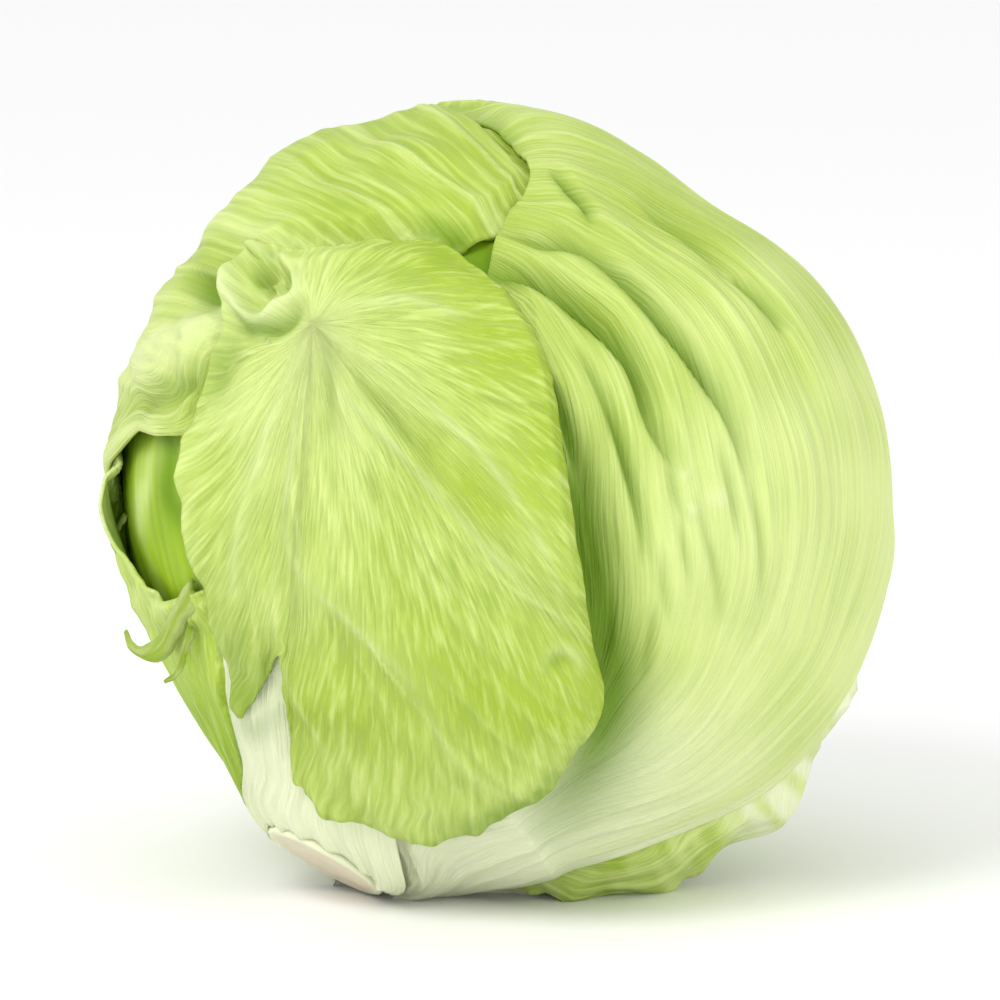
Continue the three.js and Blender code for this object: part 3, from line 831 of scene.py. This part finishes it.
def toothed_rim(count):
    """Outline of the blade in the front view, with teeth that grow toward its lower left."""
    rim = drawn(FRONT_OUTLINE, closed=True, count=count)
    way_on = np.roll(rim, -1, axis=0) - np.roll(rim, 1, axis=0)
    way_on[[0, -1]] = rim[1] - rim[-2]
    outward = unit(np.stack((-way_on[:, 1], way_on[:, 0]), axis=1))
    spoke = unit(rim - FRONT_FOCUS)
    squarely = smooth(0.25, 0.7, np.abs(np.sum(outward * spoke, axis=1)))
    torn = smooth(-20, -45, rim[:, 1]) * smooth(12, -5, rim[:, 0])
    step = np.linspace(0, 1, len(rim))
    teeth = noise(step * 150, 0.5) * mix(0.35, 0.8, torn) + noise(step * 46, 7.5) * mix(0.4, 0.8, torn)
    teeth *= np.sin(math.pi * step) ** 0.3 * squarely
    return rim + spoke * teeth[:, None]


def fan(x, y, spacing):
    """Main veins, fine streaks and crumple that fan out from the focus, and the distance to it."""
    reach, angle = polar(x, y, FRONT_FOCUS)
    angle = angle - FAN_BEND * reach
    ring = 2 * math.pi * reach
    turn = angle / (2 * math.pi)
    turn = turn - np.floor(turn)
    wander = 0.6 * noise(np.cos(angle) * 4, np.sin(angle) * 4, reach / 22)
    main = veins(turn, ring, spacing, 0.7, wander)
    main *= 0.55 + 0.45 * noise(np.cos(angle) * 9, np.sin(angle) * 9, reach / 9)
    fine = streaks(turn, reach / FAN_LENGTH, ring, FAN_LENGTH, 2.6, 8, 4.2)
    crumple = streaks(turn, reach / FAN_LENGTH, ring, FAN_LENGTH, 7, 2.2, 7.7)
    return main, fine, crumple, reach


def curl(x, y):
    """The curl at the upper left of the blade: its height, its raised rim and the shade in it."""
    bowl, spin = polar(x, y, CURL)
    bowl = bowl * (1 + 0.12 * np.sin(2 * spin + 0.6) + 0.08 * np.sin(5 * spin))
    rim = hump(bowl - CURL_RADIUS - 0.8 * np.sin(3 * spin + 1), 1.7)
    rim *= 0.75 + 0.35 * np.cos(spin + 2.0)
    swirl = np.sin(2 * spin + bowl * 0.8) * hump(bowl, 6.5)
    height = 3.4 * rim + 1.2 * swirl - 3.0 * hump(bowl, 4.4)
    return height, rim, 0.5 * hump(bowl, 4.5) * (0.5 + 0.5 * swirl)


class LETTUCE_OT_front_leaf(bpy.types.Operator):
    """Front leaf: its blade folds over the front, and its white limb runs up from the stem"""

    bl_idname = "lettuce.front_leaf"
    bl_label = "Front Leaf"

    def execute(self, context):
        self.blade(context.scene.lettuce_sizes)
        self.limb()
        return {"FINISHED"}

    def blade(self, sizes):
        """The blade, as spokes from the focus to its toothed outline."""
        piece, order, u, v = sheet_piece("leaf_front_blade", *BLADE_GRID)
        rim = toothed_rim(u.shape[1] - 1)
        x = mix(FRONT_FOCUS[0], rim[None, :, 0], v)
        y = mix(FRONT_FOCUS[1], rim[None, :, 1], v)
        loose = smooth(0.8, 1, v) * smooth(-15, -35, y) * smooth(0, -20, x)
        x = x + 0.9 * loose * noise(x / 3, y / 3, 1.0)
        y = y + 0.9 * loose * noise(x / 3, y / 3, 2.0)
        ways = seen(x, y, FRONT_LIFT)
        main, fine, crumple, reach = fan(x, y, sizes.vein_spacing / MM)
        rise = smooth(2, 14, reach)
        drawn_veins = sum(ridge(x, y, line, 1.0) for line in FRONT_VEINS)
        drawn_veins = drawn_veins * (0.65 + 0.5 * noise(x / 5, y / 5, 8.0))
        creased = 0.4 + 0.7 * hump(reach, 32)
        relief = (creased * main + 0.55 * fine + 1.15 * crumple) * rise + 0.6 * drawn_veins
        curl_height, curl_rim, curl_shade = curl(x, y)
        marks = drawn_marks(FRONT_MARKS, x, y)
        shoulder = smooth(-14, 10, x) * smooth(50, 34, y)
        edge_drop = 2.4 * smooth(0.62, 0.93, v) - 3.4 * smooth(0.945, 1, v)
        ruffle = sizes.ruffle / MM * noise(u * 60, 1.5) * smooth(0.85, 1, v) * (1 - shoulder)
        lift = FRONT_LIFT + 1.5 * lumps(ways, 18, 2.0) + 0.6 * lumps(ways, 8, 4.0) + edge_drop * shoulder
        lift += ruffle + curl_height + marks["height"]
        lift -= 2.6 * smooth(0.72, 1, v) * smooth(38, 47, y) * smooth(-52, -44, x)
        radius = lay(ways, lift, relief=relief)
        cover_under(ways, radius, 1.0)
        masks = {
            "vein": np.clip(main + 0.3 * np.maximum(fine, 0), 0, 1) * rise + (1 - rise) * 0.4,
            "white": np.minimum(0.2 * drawn_veins + 0.35 * curl_rim + marks["white"], 0.45),
            # Painted shade from the marks and in the curl's bowl
            "fold": marks["fold"] + curl_shade,
            "pale": (0.12 + 0.4 * smooth(-10, -40, x) * smooth(-50, -10, y)
                     + 0.25 * hump(reach, 24) + 0.14 * smooth(-45, -60, y) + 0.3 * lumps(ways, 14, 9.0)),
        }
        unroll(piece, order, u - FAN_BEND * reach / (2 * math.pi), reach / FAN_LENGTH)
        finish_leaf(piece, order, ways * radius[..., None] + CENTRE, (1.6, sizes.leaf_thickness / MM),
                    1 - smooth(0, 0.5, v), leaf_finish("Front leaf skin", 230, 11), "leaf_front",
                    masks, seam=True)

    def limb(self):
        """The white limb under the blade. Nothing presses it where it comes out at the pucker."""

        def pull(ways):
            distance = np.arccos(np.clip(ways @ PUCKER_WAY, -1, 1)) * HEAD_RADIUS
            return 1 - smooth(12, 17, distance)

        material = leaf_finish("Front limb skin", 60, 5)
        sector_leaf(
            "leaf_front_limb", "leaf_front", (70, 150),
            {"base": 9.6, "tip": [(0, 164), (1, 164)],
             "left": [(10, -92), (15, -50), (22, -30), (63, -20), (100, -16), (150, -40)],
             "right": [(10, 118), (14, 100), (20, 72), (27, 63), (44, 54), (63, 50), (100, 47), (150, 75)]},
            lambda u, v, ways: 0.6 * v, (3.4, 1.0), material, ivory=1.2, pull=pull, seed=3.0,
            marks=self.limb_marks, vein_height=0.8,
        )

    def limb_marks(self, u, v, x, y, near):
        shade = np.maximum(ridge(x, y, LIMB_SHADE, 2.2), 0.6 * ridge(x, y, LIMB_NOTCH, 3.0))
        lobes = noise(u * 7, v * 6, 2.2) * (1 - smooth(0.05, 0.3, v))
        return {"height": 1.1 * lobes, "fold": 0.6 * shade}


class LETTUCE_OT_back_outer_leaf(bpy.types.Operator):
    """Outer back leaf: a short wrapper low on the back, with a waved free edge"""

    bl_idname = "lettuce.back_outer_leaf"
    bl_label = "Outer Back Leaf"

    def execute(self, context):
        def lift(u, v, ways):
            margin = smooth(0.7, 1, np.maximum(v, np.abs(2 * u - 1)))
            return 2.2 * margin * (0.5 + 0.5 * np.sin(u * 40 + v * 25))

        sector_leaf(
            "leaf_back_outer_skin", "leaf_back_outer", (120, 120),
            {"base": 10.5, "tip": [(0, 50), (0.25, 64), (0.6, 68), (0.85, 60), (1, 48)],
             "left": [(10, 145), (25, 152), (45, 160), (68, 168)],
             "right": [(10, 195), (25, 196), (45, 204), (68, 208)]},
            lift, (3.2, 0.8), leaf_finish("Outer back leaf skin", 120, 8), seed=5.0,
        )
        return {"FINISHED"}


# Marks of the right leaf in the front view: short creases darkened with painted shade, some of them
# round a small knot, and the bright places beside them, which are painted highlights
RIGHT_CREASES = [
    [(35.8, 7), (36.2, 1.5), (37.2, -3.2), (39.4, -7)], [(37.2, -5), (38, -11), (39.4, -20)],
    [(41, 2), (42.2, -8), (44.8, -18), (46.4, -29)], [(33.4, -12), (34.2, -19), (35.8, -29)],
    [(32.4, -23), (32.2, -31), (30.6, -42)], [(52, 3), (53.4, -9), (53.4, -25)],
    [(45, 11), (47.6, 1), (48.8, -11)],
]
RIGHT_GLINTS = [((39.6, -4), 1.4), ((45, -1.8), 2.2), ((38.6, 3), 1.2)]


class LETTUCE_OT_right_leaf(bpy.types.Operator):
    """Right leaf: a broad pale base along the bottom, and a pleated blade over the right side"""

    bl_idname = "lettuce.right_leaf"
    bl_label = "Right Leaf"

    def execute(self, context):
        material = leaf_finish("Right leaf skin", 170, 9, green="broad", mottle="green")
        sector_leaf(
            "leaf_right_skin", "leaf_right", (188, 250),
            {"base": 10, "tip": [(0, 136), (0.25, 138), (0.45, 135), (0.62, 128), (0.8, 123), (1, 114)],
             "left": [(10, -60), (20, -16), (40, -38), (62, -42), (90, -40), (105, -46), (119, -54),
                      (138, -72)],
             "right": [(10, -150), (15, -118), (20, -99), (25, -92), (30, -88), (35, -89), (40, -92),
                       (45, -98), (50, -106), (56, -112), (66, -122), (80, -134), (115, -157)]},
            lambda u, v, ways: 1.1 * lumps(ways, 17, 5.0) * smooth(0.2, 0.6, v) - 1.2 * smooth(0.94, 1, v),
            (3.4, 0.8), material, climb=0.8, ivory=0.5, seed=7.0, marks=self.marks,
        )
        return {"FINISHED"}

    def marks(self, u, v, x, y, near):
        front = near > 0
        depth, dark = (pleats * front for pleats in pleated(x, y))
        creases = sum(ridge(x, y, line, 1.35) ** 2 for line in RIGHT_CREASES) * front
        glints = sum(spot(x, y, place_at, wide) for place_at, wide in RIGHT_GLINTS) * front
        # Painted light: the leaf is made paler toward its lower right, where the light falls
        painted_light = smooth(-5, 55, x) * smooth(60, 0, y)
        edge = (1 - smooth(0.2, 0.26, v)) * smooth(0.9, 1, u)
        return {
            "height": 0.6 * glints - 0.8 * creases - depth,
            # Painted shade in the pleats, the hollow, the creases and along the edge at the leaf's foot
            "fold": 1.15 * dark + 0.36 * creases + 0.2 * edge,
            "pale": 0.12 + 0.62 * painted_light + 0.3 * noise(x / 12, y / 12, 4.0),
            # Painted highlights at the glints, and painted light whitening the lower right
            "white": 0.22 * glints + 0.1 * smooth(0.5, 1, painted_light) * front,
        }


class LETTUCE_OT_lower_right_leaf(bpy.types.Operator):
    """Lower right leaf: under the right one, with an edge that flares out beyond it"""

    bl_idname = "lettuce.lower_right_leaf"
    bl_label = "Lower Right Leaf"

    def execute(self, context):
        def lift(u, v, ways):
            return 6.5 * smooth(0.55, 1, u) * smooth(0.2, 0.4, v) * (0.8 + 0.2 * np.sin(v * 30))

        sector_leaf(
            "leaf_lower_right_skin", "leaf_lower_right", (120, 130),
            {"base": 13, "tip": [(0, 62), (0.5, 68), (1, 64)],
             "left": [(13, -70), (30, -66), (70, -80)],
             "right": [(13, -108), (22, -99), (28, -101), (32, -107), (38, -112), (42, -110),
                       (46, -114), (53, -112), (58, -117), (68, -118)]},
            lift, (2.4, 0.8), leaf_finish("Lower right leaf skin", 90, 7), climb=0.9, seed=9.0,
            ivory=0.1, marks=self.marks,
        )
        return {"FINISHED"}

    def marks(self, u, v, x, y, near):
        waves = np.sin(v * 46 + 3 * noise(v * 9, u * 3, 1.0)) * smooth(0.7, 1, u)
        patch = smooth(42, 52, x) * (1 - smooth(70, 76, x))
        return {
            "height": 0.9 * waves,
            # Painted shade: darker where the leaf lies under the right leaf's edge, outside the pale patch,
            # and in the troughs of its waves
            "fold": 0.3 * (1 - smooth(0.45, 0.62, u)) * (1 - patch) + 0.15 * np.maximum(-waves, 0),
            "pale": 0.45 + 0.5 * patch + 0.5 * noise(x / 3, y / 3, 2.0) + 0.5 * smooth(0.93, 1, u),
            "white": patch * (0.65 + 0.6 * noise(x / 2.5, y / 2.5, 5.0)),
        }


# Marks of the top left leaf in the front view: a crumpled bright band above the arch of its rim,
# with painted shade under it and in the hollows of its wrinkles, a crease and a deep pocket, both
# darkened with painted shade, and the place that its veins run round
TOP_BAND = [(-80, 22), (-72, 27), (-66, 31), (-58, 37), (-55, 39)]
TOP_BAND_SHADE = [(-76, 17), (-70, 20), (-64, 22), (-59, 26)]
TOP_CREASE = [(-17, 55.5), (-11, 53.5), (-6, 51), (-2, 48)]
TOP_POCKET = [(-63, 47), (-61, 42), (-61.5, 38)]
TOP_POCKET_END = (-57, 44.5)
ARCH = [(-82, 0), (-80, 8), (-76.5, 12), (-71.5, 12.7), (-69, 8), (-69.5, 2)]
TOP_GRAIN = (-70, -10)


class LETTUCE_OT_top_left_leaf(bpy.types.Operator):
    """Top left leaf: comes round from the back over the top left, and ends in a crumpled rim"""

    bl_idname = "lettuce.top_left_leaf"
    bl_label = "Top Left Leaf"

    def execute(self, context):
        material = leaf_finish("Top left leaf skin", 160, 9, grain=True)

        def lift(u, v, ways):
            rim = (1 - smooth(0, 0.14, u)) * smooth(0.45, 0.6, v)
            return 1.5 * rim + 1.5 * lumps(ways, 12, 3.0)

        sector_leaf(
            "leaf_top_left_skin", "leaf_top_left", (150, 200),
            {"base": 12, "tip": [(0, 150), (0.3, 162), (0.5, 170), (0.75, 168), (1, 158)],
             "left": [(10, 150), (40, 150), (60, 138), (77, 125), (88, 118), (97, 110), (109, 102),
                      (116, 88), (125, 76), (145, 84)],
             "right": [(10, 195), (60, 190), (100, 205), (115, 224), (128, 242), (138, 256), (150, 262)]},
            lift, (3.0, 0.8), material, climb=1.2, seed=11.0, ivory=0.35, marks=self.marks,
            grain=self.grain,
        )
        return {"FINISHED"}

    def grain(self, x, y, near):
        """Its veins run round over the top of the head, toward the right leaf."""
        across, angle = polar(x, y, TOP_GRAIN)
        return across, angle * across, smooth(-30, 5, near) * smooth(20, 45, y)

    def marks(self, u, v, x, y, near):
        front = near > -25
        band = ridge(x, y, TOP_BAND, 4.0)
        under = ridge(x, y, TOP_BAND_SHADE, 2.6)
        pocket = np.maximum(ridge(x, y, TOP_POCKET, 3.2), spot(x, y, TOP_POCKET_END, 3.5))
        wrinkle = noise(x / 2.4 + y / 6, y / 2.4, 5.0) * np.maximum(band, 0.3 * under)
        arch = ridge(x, y, ARCH, 1.6)
        crease = ridge(x, y, TOP_CREASE, 1.8)
        return {
            "height": (2.6 * band + 1.4 * wrinkle - 2.4 * under - 4.2 * pocket - 2 * crease) * front,
            # Painted shade in the pocket, under the band, in the crease and in the hollows of the wrinkles
            "fold": (0.95 * pocket + 0.55 * under + 0.8 * crease
                     + 0.25 * np.maximum(-wrinkle, 0)) * front,
            "pale": 0.1 + 0.8 * band + 0.8 * arch + 0.25 * smooth(-20, -60, x),
            "white": 0.25 * band * front,
        }


# Marks of the lower left leaf in the front view: its rolled rim, the deep place behind it and
# crumpled tissue below, with painted shade in the deep place, in the hollows of the tissue and
# toward the leaf's lower end. The hooks are curls of its torn rim, and near is how far toward the
# viewer each lies at its root, before its middle and at its end.
ROLLED_STRIP = [(-80, 8), (-79, 2), (-78.4, -6), (-76.5, -14)]
DEEP_PLACE = (-70, -3)
TORN_TISSUE = (-72, -23)
HOOKS = [
    {"path": [(-64, -21), (-68, -27), (-70.5, -32), (-74, -34.8), (-77.5, -33.2), (-78.6, -30)],
     "near": [46, 34, 22], "width": 8.0},
    {"path": [(-64.5, -29), (-66, -34), (-67.5, -38.5), (-69.8, -40.2)], "near": [42, 37, 34],
     "width": 3.4},
    {"path": [(-79, -5), (-80.6, -8), (-81.8, -11), (-80.6, -13.5)], "near": [14, 12, 12],
     "width": 2.8},
]
HOOK_BEND = math.radians(150)


class LETTUCE_OT_lower_left_leaf(bpy.types.Operator):
    """Lower left leaf: deep green in shade, with a pale curled rim"""

    bl_idname = "lettuce.lower_left_leaf"
    bl_label = "Lower Left Leaf"

    def execute(self, context):
        material = leaf_finish("Lower left leaf skin", 80, 7, green="inside")
        sector_leaf(
            "leaf_lower_left_skin", "leaf_lower_left", (100, 130),
            {"base": 11, "tip": [(0, 78), (0.2, 72), (0.4, 66), (0.6, 74), (0.75, 92), (1, 92)],
             "left": [(10, 95), (20, 58), (44, 47), (63, 44), (84, 50)],
             "right": [(10, 165), (30, 150), (50, 140), (77, 135), (100, 128)]},
            lambda u, v, ways: 2.5 * smooth(0.75, 1, v) * (0.6 + 0.4 * np.sin(u * 22)),
            (2.6, 0.8), material, climb=1.5, seed=13.0, ivory=0.1, marks=self.marks,
        )
        for number, hook in enumerate(HOOKS):
            self.hook(number + 1, hook, material)
        return {"FINISHED"}

    def marks(self, u, v, x, y, near):
        strip = ridge(x, y, ROLLED_STRIP, 2.2)
        deep = spot(x, y, DEEP_PLACE, 8)
        tissue = spot(x, y, TORN_TISSUE, 9)
        wrinkle = noise(x / 2.5, y / 2.5, 6.0) * tissue
        return {
            "height": 3.2 * strip + 1.2 * wrinkle - 2.0 * deep,
            # Painted shade in the deep place, in the hollows of the tissue and toward the lower end
            "fold": 0.1 * deep + 0.4 * np.maximum(-wrinkle, 0) + 0.3 * smooth(-38, -50, y),
            "pale": 0.9 * strip + 0.7 * tissue,
            "white": 0.35 * strip,
        }

    def hook(self, number, hook, material):
        """A thin curled strip of the torn rim, bent round its own path."""
        piece, order, u, v = sheet_piece(f"leaf_lower_left_curl_{number}", 10, 70)
        path = drawn(hook["path"], count=u.shape[0] - 1)
        near = np.interp(np.linspace(0, 1, len(path)), [0, 0.45, 1], hook["near"])
        spine = CENTRE + path[:, :1] * RIGHT + path[:, 1:] * UP + near[:, None] * NEAR
        ahead = unit(np.gradient(spine, axis=0))
        out = unit(spine - CENTRE)
        across = unit(np.cross(ahead, out))
        face = np.cross(across, ahead)
        length = np.linspace(0, 1, len(path))
        width = hook["width"] * (1 - 0.7 * length**2) * (1 + 0.18 * noise(length * 9, 3.0))
        bend = (u - 0.5) * HOOK_BEND
        curve = width[:, None] / HOOK_BEND
        points = spine[:, None] + across[:, None] * (curve * np.sin(bend))[..., None]
        points = points + face[:, None] * (curve * (np.cos(bend) - 1))[..., None]
        streak = noise(u * 8, v * 4, number)
        masks = {
            "vein": np.maximum(streak, 0),
            "white": np.zeros(u.shape),
            "fold": 0.2 * np.maximum(-streak, 0),
            "pale": 0.15 + 0.4 * streak + 0.6 * smooth(0.34, 0.5, np.abs(u - 0.5)),
        }
        finish_leaf(piece, order, points, (1.1, 0.7), 1 - v, material, "leaf_lower_left",
                    masks)


class LETTUCE_OT_back_leaf(bpy.types.Operator):
    """Back leaf: round the back and under the head, flat where the head rests"""

    bl_idname = "lettuce.back_leaf"
    bl_label = "Back Leaf"

    def execute(self, context):
        sector_leaf(
            "leaf_back_skin", "leaf_back", (170, 170),
            {"base": 12, "tip": [(0, 112), (0.5, 120), (1, 118)],
             "left": [(10, 180), (60, 182), (118, 190)],
             "right": [(10, 265), (30, 270), (60, 262), (90, 256), (118, 244)]},
            lambda u, v, ways: 1.2 * lumps(ways, 17, 8.0) * smooth(0.3, 0.5, v),
            (3.0, 0.8), leaf_finish("Back leaf skin", 170, 9), climb=0.9, seed=15.0, ivory=0.35,
        )
        return {"FINISHED"}


# Marks of the heart in the front view: a pale strip in the pocket at the left, under a dark arch of
# painted shadow, with painted shade beside it, and painted shade in the gap between the leaves at
# the top
POCKET_STRIP = [(-74.6, 10.5), (-75.6, 4), (-77, -4), (-77.6, -11)]
POCKET_LINE = [
    (-80, 2), (-78.6, 9.7), (-75.4, 12.5), (-70.5, 12.5), (-69.3, 7.4), (-70.3, -1), (-66, -10),
]
POCKET_SHADE = (-70, -6)
TOP_GAP = (-4, 49)

# Length of the heart over its skin, and the depth and half angle of the room it leaves for the core
HEART_LENGTH = 257
CORE_ROOM = 26.0
CORE_ANGLE = math.radians(12)


class LETTUCE_OT_heart(bpy.types.Operator):
    """Heart: the dense inner head under the wrapper leaves"""

    bl_idname = "lettuce.heart"
    bl_label = "Heart"

    def execute(self, context):
        material = leaf_finish("Heart skin", 90, 6, "heart", "heart_mottle", "heart_pale")
        CLEARANCE.cover(STEM[None], [STEM_REACH - CORE_ROOM], CORE_ANGLE)
        piece, order, u, v = sheet_piece("heart_skin", 180, 110)
        ways = about_stem(u * 2 * math.pi, v * math.pi)
        width = 2 * math.pi * HEAD_RADIUS * np.sin(v * math.pi)
        fine = streaks(u, v, width, HEART_LENGTH, 4, 6, 3.0)
        broad = streaks(u, v, width, HEART_LENGTH, 9, 3, 6.0)
        radius = lay(ways, -2.5 + 0.6 * fine + 1.1 * broad)
        x, y, near = in_view(ways)
        strip = ridge(x, y, POCKET_STRIP, 1.7) * (near > 0) * (0.8 + 0.4 * noise(x / 1.5, y / 4, 3.0))
        # Painted shade under the arch, in the gap at the top and beside the strip
        dark = 0.8 * ridge(x, y, POCKET_LINE, 2.2) + spot(x, y, TOP_GAP, 7)
        dark = dark + 0.4 * spot(x, y, POCKET_SHADE, 10) * (1 - strip)
        masks = {
            "vein": 0.6 * np.maximum(fine, 0) + 0.3 * np.maximum(broad, 0),
            "white": 0.3 * strip,
            "pale": strip,
            "fold": dark * (near > 0),
        }
        place(piece, order, ways * radius[..., None] + CENTRE)
        paint(piece, order, **masks)
        close_up()
        set_in_frame(piece, material, "heart")
        return {"FINISHED"}


# Profile of the stem, as radius and height over its cut: the cut, its rim, then the core
STEM_PROFILE = [
    (0, 0), (STEM_RADIUS - 0.6, 0), (STEM_RADIUS, -0.6), (12.6, -3.5), (11, -10), (8.5, -23), (7, -24),
    (0, -24),
]


class LETTUCE_OT_stem(bpy.types.Operator):
    """Stem: a flat cut with fibres, and a core that narrows into the head"""

    bl_idname = "lettuce.stem"
    bl_label = "Stem"

    def execute(self, context):
        piece, order, u, v = sheet_piece("stem_skin", 96, 60)
        profile = np.array(STEM_PROFILE)
        reach = lengths(profile)
        radius = np.interp(v * reach[-1], reach, profile[:, 0])
        height = np.interp(v * reach[-1], reach, profile[:, 1])
        axis = STEM_CUT_NORMAL
        side = unit(np.cross(axis, RIGHT))
        other = np.cross(axis, side)
        turn = u * 2 * math.pi
        face = smooth(STEM_RADIUS * 1.05, STEM_RADIUS * 0.8, radius) * (height > -0.5)
        dent = 0.25 * noise(radius * np.cos(turn) / 3, radius * np.sin(turn) / 3, 1.0)
        height = height - np.abs(dent) * face - 0.5 * hump(radius, 3.5) * face
        points = (CENTRE + STEM * STEM_REACH + axis * height[..., None]
                  + side * (radius * np.cos(turn))[..., None] + other * (radius * np.sin(turn))[..., None])
        place(piece, order, points)
        paint(piece, order, face=face, rim=smooth(STEM_RADIUS - 3, STEM_RADIUS, radius))
        close_up()
        set_in_frame(piece, self.finish(context.scene.lettuce_colours), "stem")
        return {"FINISHED"}

    def finish(self, colours):
        finish = Finish("Cut stem")
        position = finish.node("ShaderNodeTexCoord", output=3)
        fibres = finish.node("ShaderNodeTexNoise", Vector=position, Scale=400, Detail=4, Roughness=0.65)
        patches = finish.node("ShaderNodeTexNoise", Vector=position, Scale=120, Detail=2)
        tan = finish.mixed(colours.cut, colours.cut_pale, patches)
        tan = finish.mixed(tan, colours.cut_fibre, (fibres - 0.45) * 0.8)
        tan = finish.mixed(tan, colours.ivory, finish.attribute("rim") * 0.7)
        finish.set(Base_Color=finish.mixed(colours.ivory, tan, finish.attribute("face")))
        finish.set(Roughness=0.5 + fibres * 0.2)
        finish.set(Normal=finish.node("ShaderNodeBump", Strength=0.5, Distance=0.0005, Height=fibres))
        finish.set(Subsurface_Weight=0.2, Subsurface_Scale=0.003, Subsurface_Radius=(1.0, 0.8, 0.5))
        return finish.material


# The camera, in millimetres: the width it takes in at the head, its distance, and the place of the
# front view that it looks at. The lights are in metres and watts.
VIEW_WIDTH = 211.9
CAMERA_DISTANCE = 2500.0
AIM = (0.42, -2.1)
SENSOR = 36
LIGHTS = [
    {"name": "key", "at": (-0.55, -0.75, 0.95), "size": 0.55, "power": 7.8},
    {"name": "fill", "at": (0.9, -0.9, 0.25), "size": 0.9, "power": 5.0},
]


class LETTUCE_OT_stage(bpy.types.Operator):
    """Stage: a pale floor, soft light from the upper left, and the camera"""

    bl_idname = "lettuce.stage"
    bl_label = "Stage"

    def execute(self, context):
        deselect()
        bpy.ops.mesh.primitive_plane_add(size=8, location=(0, 0, 0))
        floor = context.object
        floor.name = "floor"
        finish = Finish("Pale floor")
        finish.set(Base_Color=(0.9, 0.9, 0.9), Roughness=0.8)
        floor.data.materials.append(finish.material)
        for light in LIGHTS:
            self.light(**light)
        world = bpy.data.worlds.new("Studio")
        context.scene.world = world
        world.use_nodes = True
        sky = next(n for n in world.node_tree.nodes if n.type == "BACKGROUND")
        sky.inputs["Color"].default_value = (1, 1, 1, 1)
        sky.inputs["Strength"].default_value = 1.0
        context.scene.view_settings.view_transform = "Standard"
        camera_data = bpy.data.cameras.new("camera")
        camera_data.sensor_width = SENSOR
        camera_data.lens = SENSOR * CAMERA_DISTANCE / VIEW_WIDTH
        camera_data.clip_end = 20
        camera = bpy.data.objects.new("camera", camera_data)
        context.scene.collection.objects.link(camera)
        target = CENTRE + RIGHT * AIM[0] + UP * AIM[1]
        camera.location = (target + NEAR * CAMERA_DISTANCE) * MM
        camera.rotation_euler = (math.pi / 2 - LOOK_DOWN, 0, 0)
        context.scene.camera = camera
        return {"FINISHED"}

    def light(self, name, at, size, power):
        data = bpy.data.lights.new(name, "AREA")
        data.size = size
        data.energy = power
        lamp = bpy.data.objects.new(name, data)
        bpy.context.scene.collection.objects.link(lamp)
        lamp.location = at
        aim = unit(CENTRE * MM - np.array(at))
        lamp.rotation_euler = (math.acos(-aim[2]), 0, math.atan2(aim[1], aim[0]) - math.pi / 2)


STEPS = (
    LETTUCE_OT_front_leaf, LETTUCE_OT_back_outer_leaf, LETTUCE_OT_right_leaf,
    LETTUCE_OT_lower_right_leaf, LETTUCE_OT_top_left_leaf, LETTUCE_OT_lower_left_leaf,
    LETTUCE_OT_back_leaf, LETTUCE_OT_heart, LETTUCE_OT_stem, LETTUCE_OT_stage,
)


class LETTUCE_PT_panel(bpy.types.Panel):
    """Lists the steps that dress the head."""

    bl_label = "Lettuce"
    bl_idname = "LETTUCE_PT_panel"
    bl_space_type = "VIEW_3D"
    bl_region_type = "UI"
    bl_category = "Lettuce"

    def draw(self, context):
        for group in (context.scene.lettuce_sizes, context.scene.lettuce_colours):
            for name in group.__annotations__:
                self.layout.prop(group, name)
        for step in STEPS:
            self.layout.operator(step.bl_idname)


CLASSES = (LettuceSizes, LettuceColours, *STEPS, LETTUCE_PT_panel)


def register():
    for cls in CLASSES:
        bpy.utils.register_class(cls)
    bpy.types.Scene.lettuce_sizes = bpy.props.PointerProperty(type=LettuceSizes)
    bpy.types.Scene.lettuce_colours = bpy.props.PointerProperty(type=LettuceColours)


def unregister():
    del bpy.types.Scene.lettuce_colours
    del bpy.types.Scene.lettuce_sizes
    for cls in reversed(CLASSES):
        bpy.utils.unregister_class(cls)


def main():
    register()
    for step in STEPS:
        getattr(bpy.ops.lettuce, step.bl_idname.split(".")[1])()
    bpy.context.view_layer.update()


if __name__ == "__main__":
    main()
